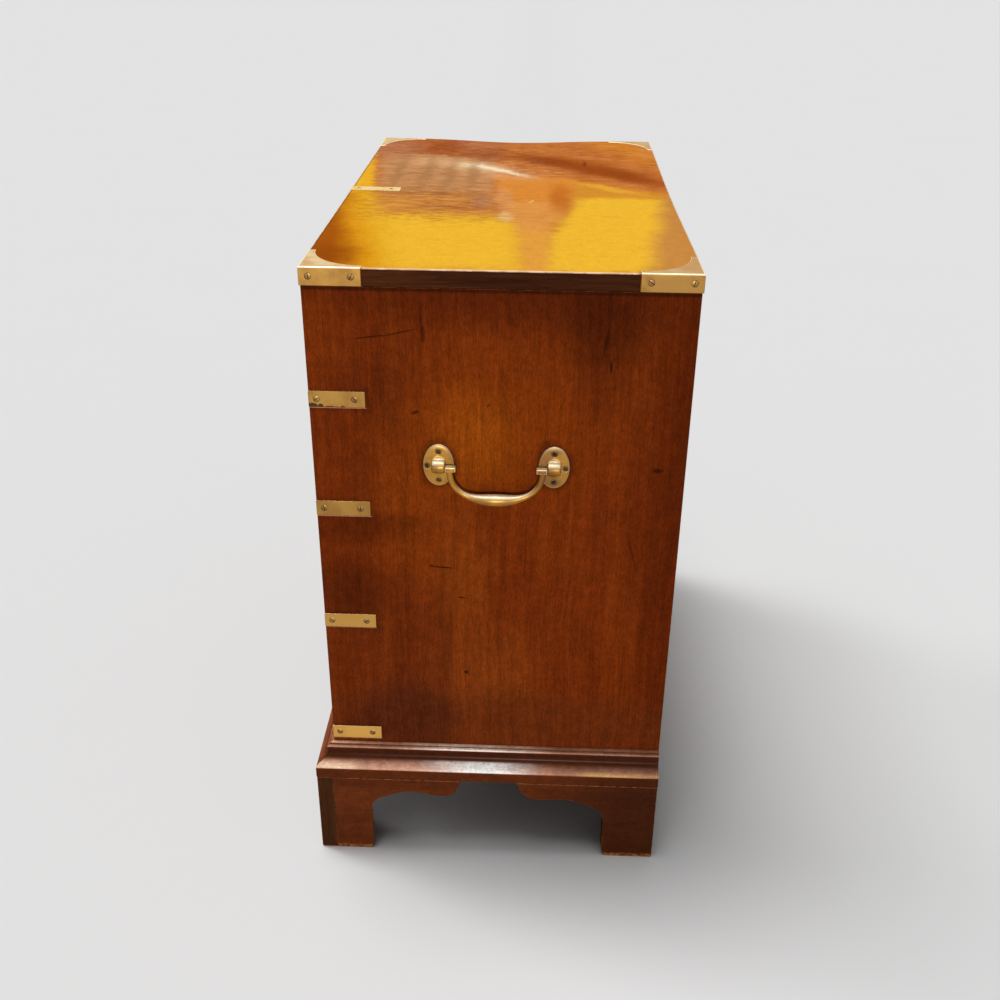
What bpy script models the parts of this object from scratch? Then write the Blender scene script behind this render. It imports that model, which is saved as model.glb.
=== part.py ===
"""Brass-bound mahogany chest of drawers on bracket feet.

Two short drawers stand over three long ones. The case sits in a moulded base frame, and brass corners,
straps, sunk drawer handles and swinging carrying handles are fitted to it.
The chest stands on z = 0 and faces -Y. The origin is the middle of its bounding box, at the floor.
"""

import math

import bmesh
import bpy
from mathutils import Matrix, Vector

MM = 0.001

# Clearance between touching pieces, a cutter's run past what it cuts, and limits for welding and shading
JOINT_GAP = 0.3 * MM
OVERRUN = 4 * MM
WELD = JOINT_GAP / 100
SHARP_ANGLE = math.radians(35)

# Top board
TOP_WIDTH = 845 * MM
TOP_DEPTH = 490 * MM
TOP_THICKNESS = 23.2 * MM
TOP_OVERHANG = 1.2 * MM
FRONT_DISH = 0.6 * MM  # the old board has sunk along the middle of its length, little at the front
BACK_DISH = 5.5 * MM  # and more at the back
CUP_DEPTH = 5 * MM  # its left end has cupped
CUP_START_SHARE = 0.3  # of the half width, where the cup begins
DISH_COLUMNS = 16
DISH_ROWS = 10

# Case
PANEL_THICKNESS = 19 * MM
BOARD_THICKNESS = 22.5 * MM  # bottom board and the boards between the drawer rows
ROW_HEIGHTS = {"bottom": 177.5 * MM, "third": 158 * MM, "second": 135.5 * MM, "top": 137.5 * MM}
UPRIGHT_THICKNESS = 20 * MM
HOUSING_DEPTH = 6 * MM  # grooves in the side panels for the boards
BACK_THICKNESS = 10 * MM
BACK_REBATE = 9 * MM
LOWER_BACK_SHARE = 0.52  # of the back's height
BASE_RAIL_THICKNESS = 20 * MM

# Base frame and bracket feet
FOOT_HEIGHT = 140.5 * MM
MOULDING_PROJECTION = 24 * MM
MOULDING_FRONT_PROJECTION = 26 * MM
FASCIA_HEIGHT = 16.5 * MM
MOULDING_HEIGHT = 52.5 * MM
LEDGE_HEIGHT = 20 * MM  # the case stands on this rebated ledge
LEDGE_WIDTH = 40 * MM
BOARD_RISE = 58.5 * MM  # underside of the bottom board above the feet
BRACKET_THICKNESS = 20 * MM
FRONT_BRACKET_LENGTH = 222 * MM
REAR_BRACKET_LENGTH = 214 * MM
BACK_BRACKET_LENGTH = 120 * MM
FOOT_WIDTH = 76 * MM
FOOT_HOLLOW_RADIUS = 34 * MM
FOOT_HOLLOW_TURN = 68  # degrees of the hollow curve that starts up the foot
FOOT_TIP_RADIUS = 28 * MM
FOOT_TIP_TURN = 55
FOOT_CURVE_STEPS = 4
FOOT_SHOULDER_SHARE = 0.54  # of the foot's height, where the hollow curve starts
FOOT_ARCH_SHARES = (0.664, 0.83)  # of the bracket's length and height
FOOT_DROP_SHARES = (0.832, 0.787)
FOOT_SETBACK = 0.4 * MM  # foot face behind the fascia
GLUE_BLOCK = 34 * MM
GLUE_BLOCK_LIFT = 15 * MM

# Brass mounts
BRASS_THICKNESS = 1.7 * MM
BRASS_PROUD = 0.4 * MM
STRAP_LENGTH = 72.5 * MM
CORNER_LENGTH = 76 * MM
CORNER_ARM_WIDTH = 9 * MM
CORNER_ARC_STEPS = 10
TOP_STRAP_LENGTH = 76 * MM
TOP_STRAP_WIDTH = 24 * MM
TOP_STRAP_OFFSET = -5 * MM

# Drawers
DRAWER_FRONT_THICKNESS = 20 * MM
DRAWER_FRONT_SIDE_GAP = 1.2 * MM
DRAWER_FRONT_FOOT_GAP = 0.8 * MM
DRAWER_FRONT_HEAD_GAP = 1.5 * MM
DRAWER_SIDE_THICKNESS = 11 * MM
DRAWER_BOTTOM_THICKNESS = 7 * MM
DRAWER_BOTTOM_RISE = 8 * MM
DRAWER_SIDE_GAP = 1 * MM
DRAWER_HEADROOM = 6 * MM
DRAWER_BACK_GAP = 12 * MM

# Keyhole in each drawer front
KEYHOLE_RADIUS = 2.7 * MM
KEYHOLE_SLOT_WIDTH = 2.4 * MM
KEYHOLE_LENGTH = 9 * MM
KEYHOLE_DEPTH = 9 * MM
KEYHOLE_BELOW_EDGE = 24 * MM
KEYHOLE_ARC_STEPS = 10

# Sunk drawer handle: a flanged brass pan and the bail that hangs in it
PLATE_WIDTH = 92 * MM
PLATE_HEIGHT = 52 * MM
PAN_WIDTH = 64 * MM
PAN_HEIGHT = 36 * MM
PAN_DEPTH = 11 * MM
PAN_WALL = 3 * MM
PAN_FLOOR = 1.5 * MM
BAIL_HALF_SPAN = 25 * MM
BAIL_DROP = 21 * MM
BAIL_CORNER_RADIUS = 10 * MM
BAIL_ROD_RADIUS = 2.5 * MM
BAIL_BEND_STEPS = 4
BAIL_ROD_RESOLUTION = 2
BAIL_PIVOT_RISE = 10 * MM  # pivot above the middle of the plate
BAIL_PIVOT_DEPTH = 3.2 * MM  # pivot behind the drawer front
BAIL_PIN_RADIUS = 1.5 * MM
BAIL_PIN_REACH = 2 * MM  # into each wall of the pan
PIN_CLEARANCE = 0.4 * MM
HANDLE_BELOW_MIDDLE = 6 * MM

# Carrying handle: two oval plates with knuckles, and a bail with a swelled grip
CARRY_HEIGHT = 659.5 * MM
CARRY_OFFSET = -3 * MM  # forward of the middle of the case
CARRY_SPAN = 151 * MM
OVAL_WIDTH = 41 * MM
OVAL_HEIGHT = 60 * MM
OVAL_THICKNESS = 3 * MM
OVAL_FACE_SHARE = 0.92  # the face is smaller than the back of the plate
OVAL_SEGMENTS = 28
KNUCKLE_WIDTH = 17 * MM
KNUCKLE_HEIGHT = 16 * MM
KNUCKLE_REACH = 16.5 * MM
KNUCKLE_BEVEL = 2.5 * MM
KNUCKLE_BEVEL_SEGMENTS = 2
CARRY_PIVOT_OUT = 10.2 * MM
CARRY_PIN_RADIUS = 2.8 * MM
CARRY_PIN_REACH = 9 * MM
CARRY_ARM_RADIUS = 4.2 * MM
CARRY_LUG_RADIUS = 4.8 * MM
CARRY_GRIP_RADIUS = 8 * MM
CARRY_DROP = 45.5 * MM
CARRY_ARM_INSET = 14.5 * MM  # arm's centreline inside the knuckle's middle
CARRY_GRIP_SHARE = 0.5  # of the bail's width taken by the swelling
CARRY_SIDE_POWER = 0.72  # a bail drawn with powers under 1 is squarer than an ellipse
CARRY_DROP_POWER = 0.86
CARRY_STEPS = 11
CARRY_ROD_RESOLUTION = 3
ROUND_SEGMENTS = 12

# Places worked out from the sizes above
CASE_HALF_WIDTH = TOP_WIDTH / 2 - TOP_OVERHANG
CASE_DEPTH = TOP_DEPTH - 2 * TOP_OVERHANG
OVERALL_DEPTH = MOULDING_FRONT_PROJECTION + CASE_DEPTH + TOP_OVERHANG + BRASS_PROUD
CASE_FRONT = MOULDING_FRONT_PROJECTION - OVERALL_DEPTH / 2
CASE_BACK = CASE_FRONT + CASE_DEPTH
INNER_HALF_WIDTH = CASE_HALF_WIDTH - PANEL_THICKNESS
HOUSED_HALF_WIDTH = INNER_HALF_WIDTH + HOUSING_DEPTH - JOINT_GAP
LEDGE_TOP = FOOT_HEIGHT + LEDGE_HEIGHT
PANEL_BOTTOM = LEDGE_TOP + JOINT_GAP
BACK_FACE = CASE_BACK - BACK_THICKNESS
BOARD_END = BACK_FACE - JOINT_GAP
BRASS_SEAT = BRASS_THICKNESS - BRASS_PROUD + JOINT_GAP  # depth of a recess for brass


def board_levels():
    """Underside of the bottom board and of each board above it, then the top of the case."""
    levels = [FOOT_HEIGHT + BOARD_RISE]
    for height in ROW_HEIGHTS.values():
        levels.append(levels[-1] + BOARD_THICKNESS + height)
    return levels


LEVELS = board_levels()
CASE_TOP = LEVELS[-1]
TOP_UNDERSIDE = CASE_TOP + JOINT_GAP
TOP_SURFACE = TOP_UNDERSIDE + TOP_THICKNESS
TOP_FRONT = CASE_FRONT - TOP_OVERHANG
TOP_BACK = CASE_BACK + TOP_OVERHANG
TOP_MIDDLE = (TOP_FRONT + TOP_BACK) / 2
SHORT_DRAWER_WIDTH = INNER_HALF_WIDTH - UPRIGHT_THICKNESS / 2
HANDLE_COLUMN = (UPRIGHT_THICKNESS + SHORT_DRAWER_WIDTH) / 2
FRAME_OUTSIDE = CASE_HALF_WIDTH + MOULDING_PROJECTION
FOOT_OUTSIDE = FRAME_OUTSIDE - FOOT_SETBACK
FOOT_FRONT = CASE_FRONT - MOULDING_FRONT_PROJECTION + FOOT_SETBACK
FOOT_TOP = FOOT_HEIGHT - JOINT_GAP


def clear_scene():
    for thing in list(bpy.data.objects):
        bpy.data.objects.remove(thing)


def make_collection(name, shown=True):
    made = bpy.data.collections.new(name)
    bpy.context.scene.collection.children.link(made)
    made.hide_render = not shown
    return made


def make_material(name, colour, roughness, metallic=0.0):
    made = bpy.data.materials.new(name)
    made.use_nodes = True
    shader = made.node_tree.nodes["Principled BSDF"]
    shader.inputs["Base Color"].default_value = (*colour, 1.0)
    shader.inputs["Roughness"].default_value = roughness
    shader.inputs["Metallic"].default_value = metallic
    return made


clear_scene()
PARTS = make_collection("chest_of_drawers")
CUTTERS = make_collection("cutters", shown=False)
TOP_WOOD = make_material("mahogany_top", (0.50, 0.22, 0.04), 0.25)
CASE_WOOD = make_material("mahogany_case", (0.22, 0.065, 0.018), 0.35)
BASE_WOOD = make_material("mahogany_base", (0.15, 0.040, 0.016), 0.35)
LINING = make_material("drawer_lining", (0.45, 0.29, 0.14), 0.7)
PINE = make_material("pine", (0.36, 0.22, 0.10), 0.8)
BRASS = make_material("brass", (0.60, 0.40, 0.13), 0.3, 1.0)


def shade(mesh):
    """Smooth shading that stops at sharp edges."""
    mesh.shade_smooth()
    mesh.set_sharp_from_angle(angle=SHARP_ANGLE)


def add_object(name, data, material):
    """A finished piece where a material is given, otherwise a shape for a Boolean to use."""
    made = bpy.data.objects.new(name, data)
    if material:
        PARTS.objects.link(made)
        if not data.materials:
            data.materials.append(material)
    else:
        CUTTERS.objects.link(made)
        made.hide_render = True
        made.display_type = "WIRE"
    return made


def box(name, x, y, z, material=None):
    """A box between the low and high values of each axis."""
    low = Vector((min(x), min(y), min(z)))
    high = Vector((max(x), max(y), max(z)))
    mesh = bpy.data.meshes.new(name)
    shape = bmesh.new()
    place = Matrix.Translation((low + high) / 2) @ Matrix.Diagonal((*(high - low), 1))
    bmesh.ops.create_cube(shape, size=1, matrix=place)
    shape.to_mesh(mesh)
    shape.free()
    return add_object(name, mesh, material)


def rod(name, axis, centre, radius, length, material=None):
    """A cylinder about a point, along the axis given by its letter."""
    turn = {"x": Matrix.Rotation(math.pi / 2, 4, "Y"), "y": Matrix.Rotation(math.pi / 2, 4, "X")}[axis]
    mesh = bpy.data.meshes.new(name)
    shape = bmesh.new()
    bmesh.ops.create_cone(
        shape,
        cap_ends=True,
        segments=ROUND_SEGMENTS,
        radius1=radius,
        radius2=radius,
        depth=length,
        matrix=Matrix.Translation(centre) @ turn,
    )
    shape.to_mesh(mesh)
    shape.free()
    shade(mesh)
    return add_object(name, mesh, material)


PLANES = {
    "xy": Matrix(((1, 0, 0, 0), (0, 1, 0, 0), (0, 0, 1, 0), (0, 0, 0, 1))),
    "xz": Matrix(((1, 0, 0, 0), (0, 0, -1, 0), (0, 1, 0, 0), (0, 0, 0, 1))),
    "yz": Matrix(((0, 0, 1, 0), (1, 0, 0, 0), (0, 1, 0, 0), (0, 0, 0, 1))),
}


def flat_shape(name, plane, outline, low, high, material=None):
    """A flat outline in a plane, made as thick as the stretch from low to high across that plane."""
    curve = bpy.data.curves.new(name, "CURVE")
    curve.dimensions = "2D"
    curve.fill_mode = "BOTH"
    curve.extrude = abs(high - low) / 2
    line = curve.splines.new("POLY")
    line.points.add(len(outline) - 1)
    for point, (across, up) in zip(line.points, outline):
        point.co = (across, up, 0, 1)
    line.use_cyclic_u = True
    drawn = bpy.data.objects.new(name, curve)
    bpy.context.scene.collection.objects.link(drawn)
    bpy.context.view_layer.update()
    mesh = bpy.data.meshes.new_from_object(drawn.evaluated_get(bpy.context.evaluated_depsgraph_get()))
    bpy.data.objects.remove(drawn)
    shape = bmesh.new()
    shape.from_mesh(mesh)
    bmesh.ops.remove_doubles(shape, verts=shape.verts, dist=WELD)
    turn = PLANES[plane]
    normal = turn.to_3x3() @ Vector((0, 0, 1))
    across = Vector([abs(value) for value in normal])
    place = Matrix.Translation(across * (low + high) / 2)
    bmesh.ops.transform(shape, matrix=place @ turn, verts=shape.verts)
    bmesh.ops.recalc_face_normals(shape, faces=shape.faces)
    shape.to_mesh(mesh)
    shape.free()
    shade(mesh)
    mesh.materials.clear()
    return add_object(name, mesh, material)


def boolean(piece, operation, *others):
    for other in others:
        cut = piece.modifiers.new(other.name, "BOOLEAN")
        cut.operation = operation
        cut.object = other
        cut.solver = "EXACT"


def cut(piece, *cutters):
    boolean(piece, "DIFFERENCE", *cutters)


def join(piece, *others):
    boolean(piece, "UNION", *others)


def hold(piece, parent):
    """Parents a piece where it stands."""
    piece.parent = parent
    piece.matrix_parent_inverse = parent.matrix_world.inverted()


def arc(centre, radius, start, end, steps):
    """Points of an arc between two angles in degrees."""
    angles = [math.radians(start + (end - start) * i / steps) for i in range(steps + 1)]
    return [(centre[0] + radius * math.cos(a), centre[1] + radius * math.sin(a)) for a in angles]


# Top board


def top_height(x, y):
    """Height of the dished and cupped upper surface."""
    across = x / TOP_WIDTH
    along = (y - TOP_MIDDLE) / TOP_DEPTH
    dish = (BACK_DISH + FRONT_DISH) / 2 + (BACK_DISH - FRONT_DISH) * along
    dish *= math.cos(math.pi * across) ** 2
    towards_left = max(0.0, (-2 * across - CUP_START_SHARE) / (1 - CUP_START_SHARE))
    rise = towards_left**2 * (3 - 2 * towards_left)
    return TOP_SURFACE - dish - CUP_DEPTH * rise * math.cos(math.pi * along) ** 4


def make_top_board():
    mesh = bpy.data.meshes.new("top_board")
    shape = bmesh.new()
    place = Matrix.Translation((0, TOP_MIDDLE, 0)) @ Matrix.Diagonal((TOP_WIDTH, TOP_DEPTH, 1, 1))
    bmesh.ops.create_grid(
        shape, x_segments=DISH_COLUMNS, y_segments=DISH_ROWS, size=1 / 2, matrix=place
    )
    for vert in shape.verts:
        vert.co.z = top_height(vert.co.x, vert.co.y)
    grown = bmesh.ops.extrude_face_region(shape, geom=shape.faces[:])["geom"]
    for vert in (v for v in grown if isinstance(v, bmesh.types.BMVert)):
        vert.co.z = TOP_UNDERSIDE
    bmesh.ops.recalc_face_normals(shape, faces=shape.faces)
    shape.to_mesh(mesh)
    shape.free()
    shade(mesh)
    return add_object("top_board", mesh, TOP_WOOD)


# Brass corners and straps


def corner_outline(side, end, length, arm, arc_radius, outer):
    """Plan of a corner plate: two arms with a hollow quarter curve between them."""
    curve = arc((length, length), arc_radius, -90, -180, CORNER_ARC_STEPS)
    inward = [(-outer, -outer), (length, -outer), (length, arm), *curve, (arm, length), (-outer, length)]
    x = TOP_WIDTH / 2
    y = TOP_DEPTH / 2
    return [(side * (x - across), TOP_MIDDLE + end * (y - along)) for across, along in inward]


def corner_shape(name, side, end, growth, outer, top, bottom, plate_bottom, wall, material=None):
    """Top plate and two edge plates of a corner, or the recess for them when grown."""
    length = CORNER_LENGTH + growth
    arm = CORNER_ARM_WIDTH + growth
    radius = CORNER_LENGTH - CORNER_ARM_WIDTH
    outline = corner_outline(side, end, length, arm, radius, outer)
    plate = flat_shape(name, "xy", outline, plate_bottom, top, material)
    edge_x = TOP_WIDTH / 2
    edge_y = TOP_DEPTH / 2
    side_plate = box(
        name + "_side_plate",
        (side * (edge_x - wall), side * (edge_x + outer)),
        (TOP_MIDDLE + end * (edge_y - length), TOP_MIDDLE + end * (edge_y + outer)),
        (bottom, top),
    )
    end_plate = box(
        name + "_end_plate",
        (side * (edge_x - length), side * (edge_x + outer)),
        (TOP_MIDDLE + end * (edge_y - wall), TOP_MIDDLE + end * (edge_y + outer)),
        (bottom, top),
    )
    return plate, side_plate, end_plate


def make_corner(name, side, end):
    """A brass corner, and the recess that it needs in the top board."""
    plate, side_plate, end_plate = corner_shape(
        name,
        side,
        end,
        growth=0,
        outer=BRASS_PROUD,
        top=TOP_SURFACE + BRASS_PROUD,
        bottom=TOP_UNDERSIDE,
        plate_bottom=TOP_SURFACE + BRASS_PROUD - BRASS_THICKNESS,
        wall=BRASS_THICKNESS - BRASS_PROUD,
        material=BRASS,
    )
    join(plate, side_plate, end_plate)
    return corner_shape(
        name + "_recess",
        side,
        end,
        growth=JOINT_GAP,
        outer=OVERRUN,
        top=TOP_SURFACE + OVERRUN,
        bottom=TOP_UNDERSIDE - OVERRUN,
        plate_bottom=TOP_SURFACE - BRASS_SEAT,
        wall=BRASS_SEAT,
    )


def make_top_strap():
    """The strap over the middle of the top board's front edge, and its recess."""
    surface = top_height(TOP_STRAP_OFFSET, TOP_FRONT)
    drop = surface - top_height(TOP_STRAP_OFFSET, TOP_FRONT + TOP_STRAP_LENGTH)
    front = TOP_FRONT - BRASS_PROUD
    top = surface + BRASS_PROUD
    left = TOP_STRAP_OFFSET - TOP_STRAP_WIDTH / 2
    right = TOP_STRAP_OFFSET + TOP_STRAP_WIDTH / 2
    outline = [
        (front, TOP_UNDERSIDE),
        (front + BRASS_THICKNESS, TOP_UNDERSIDE),
        (front + BRASS_THICKNESS, top - BRASS_THICKNESS),
        (TOP_FRONT + TOP_STRAP_LENGTH, top - drop - BRASS_THICKNESS),
        (TOP_FRONT + TOP_STRAP_LENGTH, top - drop),
        (front, top),
    ]
    flat_shape("top_front_strap", "yz", outline, left, right, BRASS)
    seat_end = TOP_FRONT + TOP_STRAP_LENGTH + JOINT_GAP
    seat_outline = [
        (TOP_FRONT - OVERRUN, surface - BRASS_SEAT),
        (TOP_FRONT, surface - BRASS_SEAT),
        (seat_end, surface - drop - BRASS_SEAT),
        (seat_end, TOP_SURFACE + OVERRUN),
        (TOP_FRONT - OVERRUN, TOP_SURFACE + OVERRUN),
    ]
    lid = flat_shape("top_strap_seat", "yz", seat_outline, left - JOINT_GAP, right + JOINT_GAP)
    edge = box(
        "top_strap_edge_seat",
        (left - JOINT_GAP, right + JOINT_GAP),
        (TOP_FRONT - OVERRUN, TOP_FRONT + BRASS_SEAT),
        (TOP_UNDERSIDE - OVERRUN, TOP_SURFACE + OVERRUN),
    )
    return lid, edge


def make_side_strap(name, side, level):
    """A strap that wraps the case's front corner at one of the boards."""
    outer_x = side * (CASE_HALF_WIDTH + BRASS_PROUD)
    inner_x = outer_x - side * BRASS_THICKNESS
    outer_y = CASE_FRONT - BRASS_PROUD
    inner_y = outer_y + BRASS_THICKNESS
    outline = [
        (outer_x, outer_y),
        (outer_x, CASE_FRONT + STRAP_LENGTH),
        (inner_x, CASE_FRONT + STRAP_LENGTH),
        (inner_x, inner_y),
        (side * (CASE_HALF_WIDTH - STRAP_LENGTH), inner_y),
        (side * (CASE_HALF_WIDTH - STRAP_LENGTH), outer_y),
    ]
    flat_shape(name, "xy", outline, level + JOINT_GAP, level + BOARD_THICKNESS - JOINT_GAP, BRASS)


# Case


def make_side_panel(name, side):
    """Side panel with housings for the boards, a rebate for the back and seats for the straps."""
    inner = side * INNER_HALF_WIDTH
    outer = side * CASE_HALF_WIDTH
    length = (CASE_FRONT - OVERRUN, CASE_BACK + OVERRUN)
    panel = box(name, (inner, outer), (CASE_FRONT, CASE_BACK), (PANEL_BOTTOM, CASE_TOP), CASE_WOOD)
    for number, level in enumerate(LEVELS[:-1]):
        height = (level - JOINT_GAP, level + BOARD_THICKNESS + JOINT_GAP)
        housing = box(
            f"{name}_housing_{number}",
            (inner - side * OVERRUN, inner + side * HOUSING_DEPTH),
            length,
            height,
        )
        seat_height = (level, level + BOARD_THICKNESS)
        side_seat = box(
            f"{name}_strap_seat_{number}",
            (outer - side * BRASS_SEAT, outer + side * OVERRUN),
            (CASE_FRONT - OVERRUN, CASE_FRONT + STRAP_LENGTH + JOINT_GAP),
            seat_height,
        )
        front_seat = box(
            f"{name}_strap_front_seat_{number}",
            (inner - side * OVERRUN, outer + side * OVERRUN),
            (CASE_FRONT - OVERRUN, CASE_FRONT + BRASS_SEAT),
            seat_height,
        )
        cut(panel, housing, side_seat, front_seat)
    rebate = box(
        f"{name}_back_rebate",
        (inner - side * OVERRUN, inner + side * BACK_REBATE),
        (BACK_FACE - JOINT_GAP, CASE_BACK + OVERRUN),
        (PANEL_BOTTOM - OVERRUN, CASE_TOP + OVERRUN),
    )
    cut(panel, rebate)


def make_case_board(name, level, *rails):
    """A full-depth board housed in both side panels, with seats for the straps' front legs."""
    height = (level, level + BOARD_THICKNESS)
    board = box(name, (-HOUSED_HALF_WIDTH, HOUSED_HALF_WIDTH), (CASE_FRONT, BOARD_END), height, CASE_WOOD)
    join(board, *rails)
    seat_foot = level if rails else level - OVERRUN
    for side in (-1, 1):
        seat = box(
            f"{name}_strap_seat_{side}",
            (side * (CASE_HALF_WIDTH - STRAP_LENGTH - JOINT_GAP), side * CASE_HALF_WIDTH),
            (CASE_FRONT - OVERRUN, CASE_FRONT + BRASS_SEAT),
            (seat_foot, level + BOARD_THICKNESS + OVERRUN),
        )
        cut(board, seat)


def make_bottom_board():
    """The bottom board, with the base rails glued under its front and back edges."""
    half = INNER_HALF_WIDTH - JOINT_GAP
    height = (PANEL_BOTTOM, LEVELS[0] + BOARD_THICKNESS / 2)
    front_depth = (CASE_FRONT, CASE_FRONT + BASE_RAIL_THICKNESS)
    front_rail = box("front_base_rail", (-half, half), front_depth, height)
    back_rail = box("back_base_rail", (-half, half), (BOARD_END - BASE_RAIL_THICKNESS, BOARD_END), height)
    make_case_board("bottom_board", LEVELS[0], front_rail, back_rail)


def make_upright():
    """The upright between the two short drawers."""
    half = UPRIGHT_THICKNESS / 2
    floor = LEVELS[-2] + BOARD_THICKNESS + JOINT_GAP
    box("short_drawer_upright", (-half, half), (CASE_FRONT, BOARD_END), (floor, CASE_TOP), CASE_WOOD)


def make_back_boards():
    """Two back boards in the side panels' rebates."""
    half = INNER_HALF_WIDTH + BACK_REBATE - JOINT_GAP
    seam = LEVELS[0] + (CASE_TOP - LEVELS[0]) * LOWER_BACK_SHARE
    depth = (BACK_FACE, CASE_BACK)
    box("back_board_lower", (-half, half), depth, (LEVELS[0], seam), PINE)
    box("back_board_upper", (-half, half), depth, (seam + JOINT_GAP, CASE_TOP), PINE)


# Base frame and feet


MOULDING_SHARES = [
    (1.0, 0.0),
    (0.97, 0.09),
    (0.88, 0.18),
    (0.73, 0.25),
    (0.57, 0.31),
    (0.44, 0.38),
    (0.36, 0.47),
    (0.32, 0.58),
    (0.31, 0.70),
    (0.31, 0.76),
    (0.36, 0.80),
    (0.37, 0.85),
    (0.33, 0.89),
    (0.20, 0.90),
    (0.24, 0.93),
    (0.21, 0.98),
    (0.14, 1.0),
]


def moulding_outline(projection):
    """Section of the frame as distance out from the case and height: fascia, ogee, beads and ledge."""
    arris = FOOT_HEIGHT + FASCIA_HEIGHT
    rise = MOULDING_HEIGHT - FASCIA_HEIGHT
    wave = [(projection * across, arris + rise * up) for across, up in MOULDING_SHARES]
    return [
        (projection, FOOT_HEIGHT),
        *wave,
        (JOINT_GAP, FOOT_HEIGHT + MOULDING_HEIGHT),
        (JOINT_GAP, LEDGE_TOP),
        (-LEDGE_WIDTH, LEDGE_TOP),
        (-LEDGE_WIDTH, FOOT_HEIGHT),
    ]


def loft(name, sections, material):
    """A solid through sections that have the same number of points."""
    mesh = bpy.data.meshes.new(name)
    shape = bmesh.new()
    rings = [[shape.verts.new(point) for point in section] for section in sections]
    for ring, following in zip(rings, rings[1:]):
        for i, vert in enumerate(ring):
            shape.faces.new((ring[i - 1], vert, following[i], following[i - 1]))
    shape.faces.new(rings[0])
    shape.faces.new(rings[-1])
    bmesh.ops.recalc_face_normals(shape, faces=shape.faces)
    shape.to_mesh(mesh)
    shape.free()
    shade(mesh)
    return add_object(name, mesh, material)


def make_base_frame():
    """Moulded frame mitred round the front and sides, with a plain rail across the back."""
    side_section = moulding_outline(MOULDING_PROJECTION)
    front_section = moulding_outline(MOULDING_FRONT_PROJECTION)
    corner = [(out, forward, z) for (out, z), (forward, _) in zip(side_section, front_section)]
    sections = [
        [(-CASE_HALF_WIDTH - out, CASE_BACK, z) for out, z in side_section],
        [(-CASE_HALF_WIDTH - out, CASE_FRONT - forward, z) for out, forward, z in corner],
        [(CASE_HALF_WIDTH + out, CASE_FRONT - forward, z) for out, forward, z in corner],
        [(CASE_HALF_WIDTH + out, CASE_BACK, z) for out, z in side_section],
    ]
    frame = loft("base_frame", sections, BASE_WOOD)
    reach = CASE_HALF_WIDTH - LEDGE_WIDTH / 2
    depth = (CASE_BACK - LEDGE_WIDTH, CASE_BACK)
    rail = box("frame_back_rail", (-reach, reach), depth, (FOOT_HEIGHT, LEDGE_TOP))
    join(frame, rail)


def bracket_outline(length):
    """Side view of a shaped bracket as distance from the corner and height: foot, arch, drop and tip."""
    hollow_middle = (FOOT_WIDTH + FOOT_HOLLOW_RADIUS, FOOT_TOP * FOOT_SHOULDER_SHARE)
    hollow_curve = arc(hollow_middle, FOOT_HOLLOW_RADIUS, 180, 180 - FOOT_HOLLOW_TURN, 2 * FOOT_CURVE_STEPS)
    start, start_height = hollow_curve[-1]
    arch, arch_height = length * FOOT_ARCH_SHARES[0], FOOT_TOP * FOOT_ARCH_SHARES[1]
    drop, drop_height = length * FOOT_DROP_SHARES[0], FOOT_TOP * FOOT_DROP_SHARES[1]
    arch_curve = []
    drop_curve = []
    for i in range(1, FOOT_CURVE_STEPS + 1):
        along = i / FOOT_CURVE_STEPS
        rising = math.sin(math.pi / 2 * along)
        falling = math.sin(math.pi / 2 * along) ** 2
        arch_rise = start_height + (arch_height - start_height) * rising
        drop_rise = arch_height + (drop_height - arch_height) * falling
        arch_curve.append((start + (arch - start) * along, arch_rise))
        drop_curve.append((arch + (drop - arch) * along, drop_rise))
    tip_middle = (drop, drop_height + FOOT_TIP_RADIUS)
    tip_curve = arc(tip_middle, FOOT_TIP_RADIUS, -90, -90 + FOOT_TIP_TURN, FOOT_CURVE_STEPS)[1:]
    return [
        (0, 0),
        (FOOT_WIDTH, 0),
        *hollow_curve,
        *arch_curve,
        *drop_curve,
        *tip_curve,
        (length, FOOT_TOP),
        (0, FOOT_TOP),
    ]


def back_bracket_outline(length):
    """The plain bracket at the back of a rear foot."""
    return [(0, 0), (FOOT_WIDTH, 0), (FOOT_WIDTH, FOOT_TOP / 2), (length, FOOT_TOP), (0, FOOT_TOP)]


def make_foot(name, side, end):
    """A foot of two brackets with a glue block in their corner. end is -1 at the front and 1 at the back."""
    outer_x = side * FOOT_OUTSIDE
    outer_y = FOOT_FRONT if end < 0 else CASE_BACK
    length = FRONT_BRACKET_LENGTH if end < 0 else REAR_BRACKET_LENGTH
    side_outline = [(outer_y - end * along, up) for along, up in bracket_outline(length)]
    inner_x = outer_x - side * BRACKET_THICKNESS
    foot = flat_shape(name, "yz", side_outline, outer_x, inner_x, BASE_WOOD)
    if end < 0:
        across_outline = bracket_outline(FRONT_BRACKET_LENGTH)
    else:
        across_outline = back_bracket_outline(BACK_BRACKET_LENGTH)
    across_outline = [(outer_x - side * along, up) for along, up in across_outline]
    inner_y = outer_y - end * BRACKET_THICKNESS
    bracket = flat_shape(f"{name}_bracket", "xz", across_outline, outer_y, inner_y)
    overlap = BRACKET_THICKNESS / 2
    block = box(
        f"{name}_block",
        (inner_x + side * overlap, inner_x - side * GLUE_BLOCK),
        (inner_y + end * overlap, inner_y - end * GLUE_BLOCK),
        (GLUE_BLOCK_LIFT, FOOT_TOP),
    )
    join(foot, bracket, block)


# Drawers and their handles


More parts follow.
